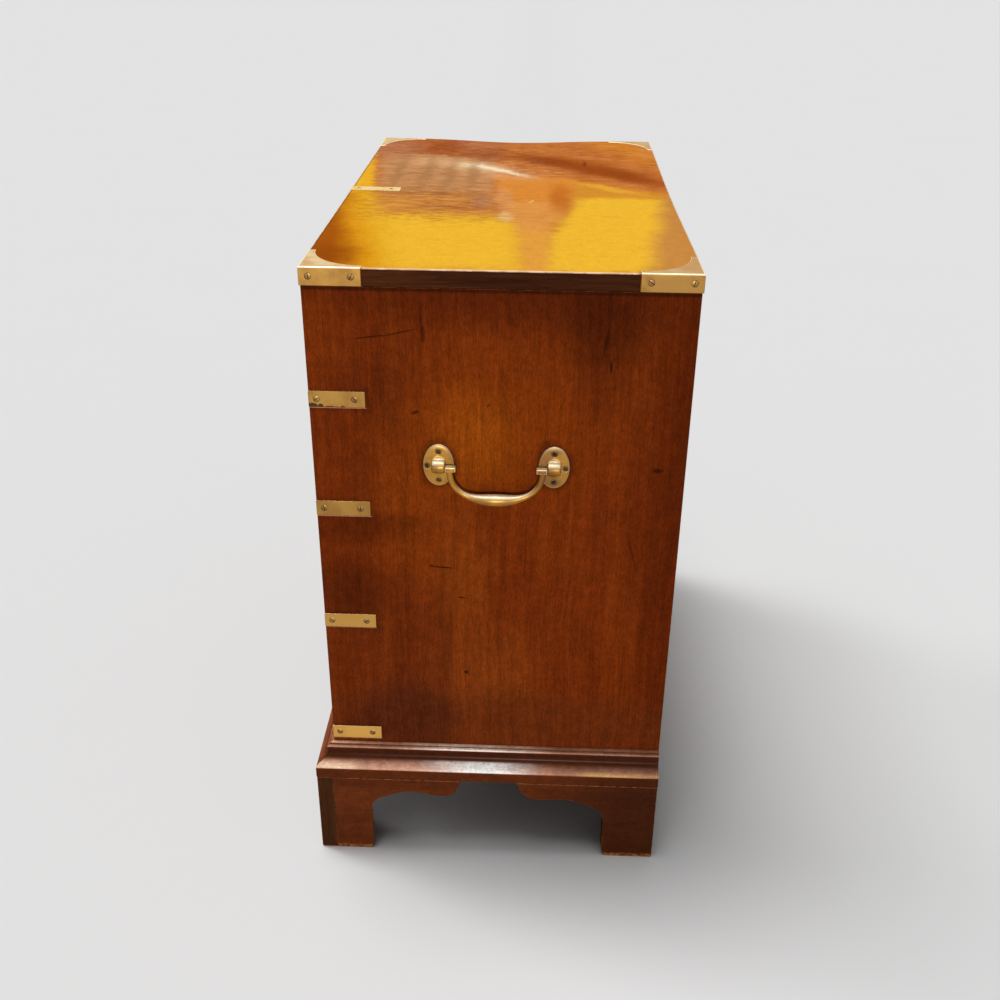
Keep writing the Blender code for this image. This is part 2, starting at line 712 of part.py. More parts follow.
def keyhole_outline(x, z):
    """A round hole over a straight slot."""
    half = KEYHOLE_SLOT_WIDTH / 2
    opening = math.degrees(math.asin(half / KEYHOLE_RADIUS))
    round_part = arc((x, z), KEYHOLE_RADIUS, -90 + opening, 270 - opening, KEYHOLE_ARC_STEPS)
    return [*round_part, (x - half, z - KEYHOLE_LENGTH), (x + half, z - KEYHOLE_LENGTH)]


def make_drawer(name, middle, width, level, height, handle_places):
    """A drawer's front and its box, with a recess for each handle and a keyhole."""
    floor = level + BOARD_THICKNESS
    slide = bpy.data.objects.new(f"{name}_slide", None)
    slide.location = (middle, CASE_FRONT, floor)
    PARTS.objects.link(slide)
    bpy.context.view_layer.update()
    half = width / 2 - DRAWER_FRONT_SIDE_GAP
    front = box(
        f"{name}_front",
        (middle - half, middle + half),
        (CASE_FRONT, CASE_FRONT + DRAWER_FRONT_THICKNESS),
        (floor + DRAWER_FRONT_FOOT_GAP, floor + height - DRAWER_FRONT_HEAD_GAP),
        CASE_WOOD,
    )
    key = keyhole_outline(middle, floor + height - KEYHOLE_BELOW_EDGE)
    cut(front, flat_shape(f"{name}_keyhole", "xz", key, CASE_FRONT - OVERRUN, CASE_FRONT + KEYHOLE_DEPTH))
    for number, (x, z) in enumerate(handle_places):
        seat = box(
            f"{name}_plate_seat_{number}",
            (x - PLATE_WIDTH / 2 - JOINT_GAP, x + PLATE_WIDTH / 2 + JOINT_GAP),
            (CASE_FRONT - OVERRUN, CASE_FRONT + BRASS_SEAT),
            (z - PLATE_HEIGHT / 2 - JOINT_GAP, z + PLATE_HEIGHT / 2 + JOINT_GAP),
        )
        grown = PAN_WALL + JOINT_GAP
        pocket = box(
            f"{name}_pan_pocket_{number}",
            (x - PAN_WIDTH / 2 - grown, x + PAN_WIDTH / 2 + grown),
            (CASE_FRONT - OVERRUN, CASE_FRONT + PAN_DEPTH + PAN_FLOOR + JOINT_GAP),
            (z - PAN_HEIGHT / 2 - grown, z + PAN_HEIGHT / 2 + grown),
        )
        cut(front, seat, pocket)
    tray = make_drawer_box(name, middle, width, floor, height)
    hold(front, slide)
    hold(tray, slide)
    return slide


def make_drawer_box(name, middle, width, floor, height):
    """Sides, back and bottom of a drawer, dovetailed and grooved together."""
    half = width / 2 - DRAWER_SIDE_GAP
    inner = half - DRAWER_SIDE_THICKNESS
    start = CASE_FRONT + DRAWER_FRONT_THICKNESS + JOINT_GAP
    end = BACK_FACE - DRAWER_BACK_GAP
    low = floor + JOINT_GAP
    high = floor + height - DRAWER_HEADROOM
    inside_floor = low + DRAWER_BOTTOM_RISE + DRAWER_BOTTOM_THICKNESS
    tray = box(f"{name}_box", (middle - half, middle + half), (start, end), (low, high), LINING)
    inside = box(
        f"{name}_inside",
        (middle - inner, middle + inner),
        (start - OVERRUN, end - DRAWER_SIDE_THICKNESS),
        (inside_floor, high + OVERRUN),
    )
    underside = box(
        f"{name}_underside",
        (middle - inner, middle + inner),
        (start - OVERRUN, end + OVERRUN),
        (low - OVERRUN, low + DRAWER_BOTTOM_RISE),
    )
    cut(tray, inside, underside)
    return tray


def make_handle_plate():
    """The flanged pan of a sunk handle, about the middle of its face. Its holes take the bail's pins."""
    face = -BRASS_PROUD
    plate = box(
        "handle_plate",
        (-PLATE_WIDTH / 2, PLATE_WIDTH / 2),
        (face, face + BRASS_THICKNESS),
        (-PLATE_HEIGHT / 2, PLATE_HEIGHT / 2),
    )
    pan = box(
        "handle_pan",
        (-PAN_WIDTH / 2 - PAN_WALL, PAN_WIDTH / 2 + PAN_WALL),
        (face + BRASS_THICKNESS / 2, PAN_DEPTH + PAN_FLOOR),
        (-PAN_HEIGHT / 2 - PAN_WALL, PAN_HEIGHT / 2 + PAN_WALL),
    )
    hollow = box(
        "handle_hollow",
        (-PAN_WIDTH / 2, PAN_WIDTH / 2),
        (face - OVERRUN, PAN_DEPTH),
        (-PAN_HEIGHT / 2, PAN_HEIGHT / 2),
    )
    hole_length = PAN_WIDTH + 2 * (BAIL_PIN_REACH + PIN_CLEARANCE)
    pivot = (0, BAIL_PIVOT_DEPTH, BAIL_PIVOT_RISE)
    hole = rod("handle_pin_hole", "x", pivot, BAIL_PIN_RADIUS + PIN_CLEARANCE, hole_length)
    join(plate, pan)
    cut(plate, hollow, hole)
    bpy.context.view_layer.update()
    return bpy.data.meshes.new_from_object(plate.evaluated_get(bpy.context.evaluated_depsgraph_get()))


def tube(name, points, resolution):
    """A tube along points given with their radii."""
    curve = bpy.data.curves.new(name, "CURVE")
    curve.dimensions = "3D"
    curve.bevel_depth = 1.0
    curve.bevel_resolution = resolution
    curve.use_fill_caps = True
    line = curve.splines.new("POLY")
    line.points.add(len(points) - 1)
    for point, (place, radius) in zip(line.points, points):
        point.co = (*place, 1)
        point.radius = radius
    return curve


def mirrored(half):
    """A bail's points from one end to the other, given those of one half as ((across, up), radius)."""
    return half + [((-across, up), radius) for (across, up), radius in reversed(half)]


def make_drawer_bail():
    """The bail of a sunk handle, about its pivot."""
    lug_end = PAN_WIDTH / 2 - PIN_CLEARANCE
    pin_end = PAN_WIDTH / 2 + BAIL_PIN_REACH
    bend = PAN_WIDTH / 2 - BAIL_HALF_SPAN - BAIL_PIN_RADIUS - PIN_CLEARANCE
    shoulder = arc((-BAIL_HALF_SPAN - bend, -bend), bend, 90, 0, BAIL_BEND_STEPS)
    corner = (-BAIL_HALF_SPAN + BAIL_CORNER_RADIUS, -BAIL_DROP + BAIL_CORNER_RADIUS)
    turn = arc(corner, BAIL_CORNER_RADIUS, 180, 270, BAIL_BEND_STEPS)
    half = [((-pin_end, 0), BAIL_PIN_RADIUS), ((-lug_end, 0), BAIL_PIN_RADIUS)]
    half += [(point, BAIL_ROD_RADIUS) for point in shoulder + turn]
    points = [((x, 0, z), radius) for (x, z), radius in mirrored(half)]
    return tube("drawer_bail", points, BAIL_ROD_RESOLUTION)


def make_oval_plate(name, place, turn):
    """An oval plate with a knuckle on its face. A hole through the knuckle takes the bail's pin."""
    mesh = bpy.data.meshes.new(name)
    shape = bmesh.new()
    scale = Matrix.Diagonal((OVAL_HEIGHT / 2, OVAL_WIDTH / 2, OVAL_THICKNESS, 1))
    middle = Matrix.Translation((OVAL_THICKNESS / 2, 0, 0))
    lie = middle @ Matrix.Rotation(math.pi / 2, 4, "Y") @ scale
    bmesh.ops.create_cone(
        shape, cap_ends=True, segments=OVAL_SEGMENTS, radius1=1, radius2=OVAL_FACE_SHARE, depth=1, matrix=lie
    )
    bmesh.ops.recalc_face_normals(shape, faces=shape.faces)
    shape.to_mesh(mesh)
    shape.free()
    plate = add_object(name, mesh, BRASS)
    knuckle = box(
        f"{name}_knuckle",
        (OVAL_THICKNESS / 2, KNUCKLE_REACH),
        (-KNUCKLE_WIDTH / 2, KNUCKLE_WIDTH / 2),
        (-KNUCKLE_HEIGHT / 2, KNUCKLE_HEIGHT / 2),
    )
    soften = knuckle.modifiers.new("soften", "BEVEL")
    soften.width = KNUCKLE_BEVEL
    soften.segments = KNUCKLE_BEVEL_SEGMENTS
    hole = rod(
        f"{name}_hole",
        "y",
        (CARRY_PIVOT_OUT - JOINT_GAP, 0, 0),
        CARRY_PIN_RADIUS + PIN_CLEARANCE,
        KNUCKLE_WIDTH + 2 * OVERRUN,
    )
    join(plate, knuckle)
    cut(plate, hole)
    for thing in (plate, knuckle, hole):
        thing.matrix_world = Matrix.Translation(place) @ turn
    return plate


def make_carrying_bail():
    """The carrying handle's bail, about its pivot, hanging in the plane of that axis."""
    knuckle_face = CARRY_SPAN / 2 - KNUCKLE_WIDTH / 2
    arm = CARRY_SPAN / 2 - CARRY_ARM_INSET
    lug_end = knuckle_face - PIN_CLEARANCE
    half = [
        ((-knuckle_face - CARRY_PIN_REACH, 0), CARRY_PIN_RADIUS),
        ((-lug_end, 0), CARRY_PIN_RADIUS),
        ((-lug_end + JOINT_GAP, 0), CARRY_LUG_RADIUS),
        ((-arm, 0), CARRY_LUG_RADIUS),
    ]
    for i in range(1, CARRY_STEPS):
        turn = math.pi / 2 * i / CARRY_STEPS
        across = arm * math.cos(turn) ** CARRY_SIDE_POWER
        down = CARRY_DROP * math.sin(turn) ** CARRY_DROP_POWER
        near_middle = max(0.0, 1 - across / (arm * CARRY_GRIP_SHARE))
        swell = (CARRY_GRIP_RADIUS - CARRY_ARM_RADIUS) * math.sin(math.pi / 2 * near_middle) ** 2
        half.append(((-across, -down), CARRY_ARM_RADIUS + swell))
    points = [((0, y, z), radius) for (y, z), radius in mirrored(half)]
    return tube("carrying_bail", points, CARRY_ROD_RESOLUTION)


def make_carrying_handle(word, side):
    """Both plates and the bail of the carrying handle on one side."""
    surface = side * (CASE_HALF_WIDTH + JOINT_GAP)
    middle = (CASE_FRONT + CASE_BACK) / 2 + CARRY_OFFSET
    turn = Matrix.Identity(4) if side > 0 else Matrix.Rotation(math.pi, 4, "Z")
    for end, end_word in ((-1, "front"), (1, "rear")):
        place = (surface, middle + end * CARRY_SPAN / 2, CARRY_HEIGHT)
        make_oval_plate(f"carrying_plate_{word}_{end_word}", place, turn)
    bail = add_object(f"carrying_bail_{word}", make_carrying_bail(), BRASS)
    bail.location = (side * (CASE_HALF_WIDTH + CARRY_PIVOT_OUT), middle, CARRY_HEIGHT)


def make_drawers():
    plate_mesh = make_handle_plate()
    bail_curve = make_drawer_bail()
    rows = dict(zip(ROW_HEIGHTS, LEVELS))
    drawers = [
        ("drawer_top_left", "top", -HANDLE_COLUMN, SHORT_DRAWER_WIDTH, [-HANDLE_COLUMN]),
        ("drawer_top_right", "top", HANDLE_COLUMN, SHORT_DRAWER_WIDTH, [HANDLE_COLUMN]),
        ("drawer_second", "second", 0, 2 * INNER_HALF_WIDTH, [-HANDLE_COLUMN, HANDLE_COLUMN]),
        ("drawer_third", "third", 0, 2 * INNER_HALF_WIDTH, [-HANDLE_COLUMN, HANDLE_COLUMN]),
        ("drawer_bottom", "bottom", 0, 2 * INNER_HALF_WIDTH, [-HANDLE_COLUMN, HANDLE_COLUMN]),
    ]
    for name, row, middle, width, columns in drawers:
        level, height = rows[row], ROW_HEIGHTS[row]
        handle_height = level + BOARD_THICKNESS + height / 2 - HANDLE_BELOW_MIDDLE
        places = [(x, handle_height) for x in columns]
        slide = make_drawer(name, middle, width, level, height, places)
        for x, z in places:
            ending = "" if len(places) == 1 else ("_left" if x < 0 else "_right")
            plate = add_object(f"{name}_handle_plate{ending}", plate_mesh, BRASS)
            plate.location = (x, CASE_FRONT, z)
            bail = add_object(f"{name}_bail{ending}", bail_curve, BRASS)
            bail.location = (x, CASE_FRONT + BAIL_PIVOT_DEPTH, z + BAIL_PIVOT_RISE)
            bpy.context.view_layer.update()
            hold(plate, slide)
            hold(bail, slide)


def make_chest():
    top = make_top_board()
    for side, word in ((-1, "left"), (1, "right")):
        for end, end_word in ((-1, "front"), (1, "back")):
            cut(top, *make_corner(f"top_corner_{end_word}_{word}", side, end))
        make_side_panel(f"side_panel_{word}", side)
        for number, level in enumerate(reversed(LEVELS[:-1]), 1):
            make_side_strap(f"side_strap_{word}_{number}", side, level)
        make_foot(f"foot_front_{word}", side, -1)
        make_foot(f"foot_rear_{word}", side, 1)
        make_carrying_handle(word, side)
    cut(top, *make_top_strap())
    make_bottom_board()
    for word, level in zip(("lower", "middle", "upper"), LEVELS[1:-1]):
        make_case_board(f"dust_board_{word}", level)
    make_upright()
    make_back_boards()
    make_base_frame()
    make_drawers()


make_chest()
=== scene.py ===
import math
import random

import bmesh
import bpy
from mathutils import Matrix, Vector


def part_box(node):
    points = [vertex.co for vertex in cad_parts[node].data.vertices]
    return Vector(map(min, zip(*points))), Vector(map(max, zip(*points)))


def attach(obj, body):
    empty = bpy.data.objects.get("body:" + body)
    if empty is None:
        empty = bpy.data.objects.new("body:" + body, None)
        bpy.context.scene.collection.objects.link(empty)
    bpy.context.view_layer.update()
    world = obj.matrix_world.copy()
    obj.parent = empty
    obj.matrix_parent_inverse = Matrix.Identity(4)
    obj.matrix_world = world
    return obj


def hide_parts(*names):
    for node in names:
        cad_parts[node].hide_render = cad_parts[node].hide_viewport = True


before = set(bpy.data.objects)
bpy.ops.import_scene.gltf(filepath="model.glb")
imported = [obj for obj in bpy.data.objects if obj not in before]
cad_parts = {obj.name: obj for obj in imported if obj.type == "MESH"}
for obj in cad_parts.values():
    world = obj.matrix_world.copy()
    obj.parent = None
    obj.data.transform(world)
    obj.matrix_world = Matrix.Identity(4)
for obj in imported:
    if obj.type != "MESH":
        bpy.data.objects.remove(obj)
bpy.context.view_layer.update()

# Brass-bound mahogany chest of drawers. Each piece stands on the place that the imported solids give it.
MM = 0.001
WELD = 0.01 * MM
SHARP_ANGLE = math.radians(38)
FLAT_ANGLE = math.radians(0.5)
SCREW_SHARP_ANGLE = math.radians(60)
PICTURE_WIDTH = 1000  # pixels
SIDES = {"left": -1, "right": 1}

# Places taken from the solids, in metres
PANEL_LOW, PANEL_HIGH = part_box("side_panel_right")
TOP_LOW, TOP_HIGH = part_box("top_board")
FRAME_LOW, FRAME_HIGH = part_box("base_frame")
CASE_HALF_WIDTH = PANEL_HIGH.x
INNER_HALF_WIDTH = PANEL_LOW.x
CASE_FRONT = PANEL_LOW.y
CASE_BACK = PANEL_HIGH.y
TOP_MIDDLE = (TOP_LOW.y + TOP_HIGH.y) / 2
TOP_WIDTH = TOP_HIGH.x - TOP_LOW.x
TOP_DEPTH = TOP_HIGH.y - TOP_LOW.y
TOP_SURFACE = TOP_HIGH.z
FOOT_HEIGHT = FRAME_LOW.z

# Dish and cup of the old top board
FRONT_DISH = 0.6 * MM
BACK_DISH = 5.5 * MM
CUP_DEPTH = 5 * MM
CUP_START_SHARE = 0.3
TOP_COLUMNS = 84
TOP_ROWS = 48

# Arrises, recesses and the share of a face's normal that tells which way it faces
TOP_ARRIS = 1.8 * MM
BOARD_ARRIS = 0.9 * MM
FOOT_ARRIS = 1.4 * MM
BRASS_ARRIS = 0.6 * MM
TOP_ROUND = 2.0 * MM  # upper edges of the top's corners
ARRIS_SEGMENTS = 3
RECESS_GAP = 0.3 * MM
FACING_UP = 0.85
FACING_OUT = 0.9
ROUND_FACING_UP = 0.2

# Screws
SCREW_RADIUS = 3.25 * MM
SCREW_SINK = 0.4 * MM
SCREW_HOLE_GAP = 0.55 * MM
SCREW_HOLE_DEPTH = 1.2 * MM
SCREW_LENGTH = 2 * MM
SCREW_SLOT_WIDTH = 0.9 * MM
SCREW_SLOT_DEPTH = 0.8 * MM
SCREW_SEGMENTS = 28
SCREW_TAPER = 0.8
SCREW_ROUND = SCREW_RADIUS / 12

# Materials


def seen(colour):
    """A colour given as it is seen, 0 to 255, in the linear values that shaders take. Others pass."""
    if not isinstance(colour, tuple) or len(colour) == 4:
        return colour
    linear = []
    for value in colour:
        share = value / 255
        linear.append(share / 12.92 if share <= 0.04045 else ((share + 0.055) / 1.055) ** 2.4)
    return (*linear, 1.0)


class Nodes:
    """A node tree with short ways to add nodes to it."""

    def __init__(self, tree):
        self.tree = tree

    def feed(self, socket, value):
        if isinstance(value, bpy.types.NodeSocket):
            self.tree.links.new(value, socket)
        else:
            socket.default_value = value

    def add(self, kind, inputs=None, **settings):
        node = self.tree.nodes.new(kind)
        for key, value in settings.items():
            setattr(node, key, value)
        for key, value in (inputs or {}).items():
            self.feed(node.inputs[key], value)
        return node

    def math(self, operation, first, second):
        return self.add("ShaderNodeMath", {0: first, 1: second}, operation=operation).outputs[0]

    def times(self, first, second):
        return self.math("MULTIPLY", first, second)

    def fit(self, value, low, high, to_low=0.0, to_high=1.0):
        """A value mapped smoothly from one range to another."""
        inputs = {"Value": value, "From Min": low, "From Max": high, "To Min": to_low, "To Max": to_high}
        return self.add("ShaderNodeMapRange", inputs, interpolation_type="SMOOTHSTEP").outputs["Result"]


class Shader(Nodes):
    """A material whose colour is built up in layers."""

    def __init__(self, name):
        self.material = bpy.data.materials.new(name)
        self.material.use_nodes = True
        super().__init__(self.material.node_tree)
        self.surface = self.tree.nodes["Principled BSDF"]
        self.place = self.add("ShaderNodeTexCoord").outputs["Object"]

    def set(self, **inputs):
        """Feeds the surface's inputs, named with _ for each space."""
        for key, value in inputs.items():
            self.feed(self.surface.inputs[key.replace("_", " ")], value)

    def vector(self, operation, first, second):
        return self.add("ShaderNodeVectorMath", {0: first, 1: second}, operation=operation).outputs[0]

    def stretch(self, place, shares):
        return self.vector("MULTIPLY", place, shares)

    def axis(self, letter, vector=None):
        """One coordinate of a vector, or else of the place."""
        return self.add("ShaderNodeSeparateXYZ", {"Vector": vector or self.place}).outputs[letter]

    def noise(self, place, scale, detail=2.0, roughness=0.5, distortion=0.0, output="Fac"):
        inputs = {"Vector": place, "Scale": scale, "Detail": detail}
        inputs.update({"Roughness": roughness, "Distortion": distortion})
        return self.add("ShaderNodeTexNoise", inputs).outputs[output]

    def shaken(self, place, reach, scale, detail, roughness=0.5):
        """A place moved about unevenly, by up to half the reach."""
        shift = self.noise(self.place, scale, detail, roughness, output="Color")
        shift = self.stretch(self.vector("SUBTRACT", shift, (0.5,) * 3), reach)
        return self.vector("ADD", place, shift)

    def ramp(self, value, stops):
        node = self.add("ShaderNodeValToRGB", {"Fac": value})
        points = node.color_ramp.elements
        while len(points) < len(stops):
            points.new(0.5)
        for point, (position, colour) in zip(points, stops):
            point.position = position
            point.color = seen(colour)
        return node.outputs["Color"]

    def blend(self, share, first, second):
        node = self.add("ShaderNodeMix", {0: share, 6: seen(first), 7: seen(second)}, data_type="RGBA")
        return node.outputs[2]

    def tint(self, colour, strength, *shares):
        """Lays a colour over what is there, by a strength and one share or more."""
        for share in shares:
            strength = self.times(share, strength)
        self.colour = self.blend(strength, self.colour, colour)

    def patch(self, place, centre, reach, turn=(0, 0, 0), soft=0.3):
        """1 inside a soft-edged oval patch and 0 outside it."""
        inputs = {"Vector": place, "Location": centre, "Rotation": turn, "Scale": reach}
        local = self.add("ShaderNodeMapping", inputs, vector_type="TEXTURE").outputs["Vector"]
        distance = self.add("ShaderNodeVectorMath", {0: local}, operation="LENGTH").outputs["Value"]
        return self.fit(distance, 1 + soft, 1 - soft)

    def area(self, place, axes, corners, soft):
        """1 inside an outline without hollows, on two axes, and 0 outside it. The edge is soft."""
        turned = sum(a[0] * b[1] - a[1] * b[0] for a, b in zip(corners, corners[1:] + corners[:1]))
        sense = math.copysign(1, turned)
        inside = None
        for start, end in zip(corners, corners[1:] + corners[:1]):
            ahead = (Vector(end) - Vector(start)).normalized()
            inward = [0.0, 0.0, 0.0]
            inward[axes[0]], inward[axes[1]] = -sense * ahead.y, sense * ahead.x
            offset = start[0] * inward[axes[0]] + start[1] * inward[axes[1]]
            reach = self.add("ShaderNodeVectorMath", {0: place, 1: inward}, operation="DOT_PRODUCT")
            gap = self.math("SUBTRACT", reach.outputs["Value"], offset)
            inside = gap if inside is None else self.math("MINIMUM", inside, gap)
        return self.fit(inside, -soft, soft)

    def arris(self):
        return self.add("ShaderNodeAttribute", attribute_name="arris").outputs["Fac"]

    def relief(self, height, strength, depth):
        inputs = {"Strength": strength, "Distance": depth, "Height": height}
        self.set(Normal=self.add("ShaderNodeBump", inputs).outputs["Normal"])


# How much a wood's pattern is squeezed along its grain, and how deep surfaces are marked
GRAIN_LENGTH = 0.05
FLECK_LENGTH = 0.3
PORE_DEPTH = 0.2 * MM
RUB_DEPTH = 0.15 * MM  # rub marks of the brass


class Wood(Shader):
    """Polished or bare wood, with its grain along one axis. Stains are laid first, then the grain."""

    def __init__(self, name, tones, along, shift=0.0, wander=0.02):
        super().__init__(name)
        self.wavy = self.shaken(self.vector("ADD", self.place, (shift,) * 3), (wander,) * 3, 3.0, 2.0)
        shares = [[share if axis == along else 1 for axis in "xyz"] for share in (GRAIN_LENGTH, FLECK_LENGTH)]
        self.grain, self.flakes = (self.stretch(self.wavy, share) for share in shares)
        broad = self.noise(self.grain, 26.0, 3.0, 0.6, 0.6)
        cloud = self.noise(self.place, 4.5, 3.0, 0.55)
        value = self.math("ADD", self.times(broad, 0.65), self.times(cloud, 0.35))
        dark, middle, light = tones
        self.colour = self.ramp(value, [(0.32, dark), (0.5, middle), (0.68, light)])
        self.ragged = self.shaken(self.place, (0.03,) * 3, 16.0, 3.0, 0.6)

    def stain(self, colour, centre, reach, turn=(0, 0, 0), soft=0.3, strength=1.0, place=None):
        self.tint(colour, strength, self.patch(place or self.ragged, centre, reach, turn, soft))

    def finish(
        self, arris_colour, arris_share, arris_least=0.25, streaks=0.3, pores=0.35, mottle=0.0, flecks=0.0,
        roughness=(0.3, 0.45), bump=0.12, coat=0.02, coat_roughness=0.2,
    ):
        """Grain, worn arrises, uneven gloss and relief, under a thin coat of polish."""
        streak = self.noise(self.grain, 120.0, 3.0, 0.65)
        fine = self.noise(self.grain, 520.0, 2.0, 0.6)
        lines = self.math("ADD", self.times(streak, 0.6), self.times(fine, 0.4))
        pore = self.fit(self.noise(self.grain, 900.0, 1.0), 0.60, 0.68)
        patch = self.noise(self.wavy, 75.0, 4.0, 0.65)
        fleck = self.noise(self.flakes, 620.0, 2.0, 0.6)
        shade = self.fit(lines, 0.32, 0.68, 1 - streaks, 1 + streaks / 2)
        shade = self.times(shade, self.fit(pore, 0.0, 1.0, 1.0, 1 - pores))
        shade = self.times(shade, self.fit(patch, 0.35, 0.65, 1 - mottle, 1 + mottle))
        shade = self.times(shade, self.fit(fleck, 0.34, 0.66, 1 - flecks, 1 + flecks))
        grey = self.add("ShaderNodeCombineXYZ", {0: shade, 1: shade, 2: shade}).outputs[0]
        self.colour = self.vector("MULTIPLY", self.colour, grey)
        rub = self.fit(self.noise(self.place, 60.0, 3.0, 0.7), 0.4, 0.62)
        worn = self.fit(rub, 0.0, 1.0, arris_share * arris_least, arris_share)
        self.tint(arris_colour, self.arris(), worn)
        gloss = self.fit(self.noise(self.place, 22.0, 4.0, 0.6), 0.35, 0.65, *roughness)
        self.set(Base_Color=self.colour, Roughness=gloss, Specular_IOR_Level=0.0)
        self.set(Coat_Weight=coat, Coat_Roughness=coat_roughness)
        self.relief(self.math("SUBTRACT", self.times(lines, 0.5), pore), bump, PORE_DEPTH)
        return self.material


WIDE = 10.0  # reach of a stain across an axis that it ignores
HALO = 6 * MM  # dirt on the wood round a brass plate
SEAM = 1.3 * MM  # pale line painted on the wood below a strap
UNDER_TOP_SHADE = 7 * MM  # painted shadow on the panel under the top board
STRAP_DIRT = 11 * MM  # softness of the dirt round the straps
JOINED_BOARD = ((-0.3, 0.19), (-0.05, 0.50))  # darker board in the panel's lower front part
JOINT_SOFTNESS = 0.8 * MM
FRONT_EDGE_DIRT = 3 * MM  # dirt along the top's front edge
FRONT_EDGE_FADE = 1.6 * MM


def plan(y, x, up=0):
    """A point or reach on the top board in millimetres, seen with the right end nearest."""
    return (x * MM, y * MM, up)


def side_view(y, z, out=0):
    """A point or reach on a side panel in millimetres."""
    return (out, y * MM, z * MM)


def rectangle(low, high):
    return [low, (high[0], low[1]), high, (low[0], high[1])]


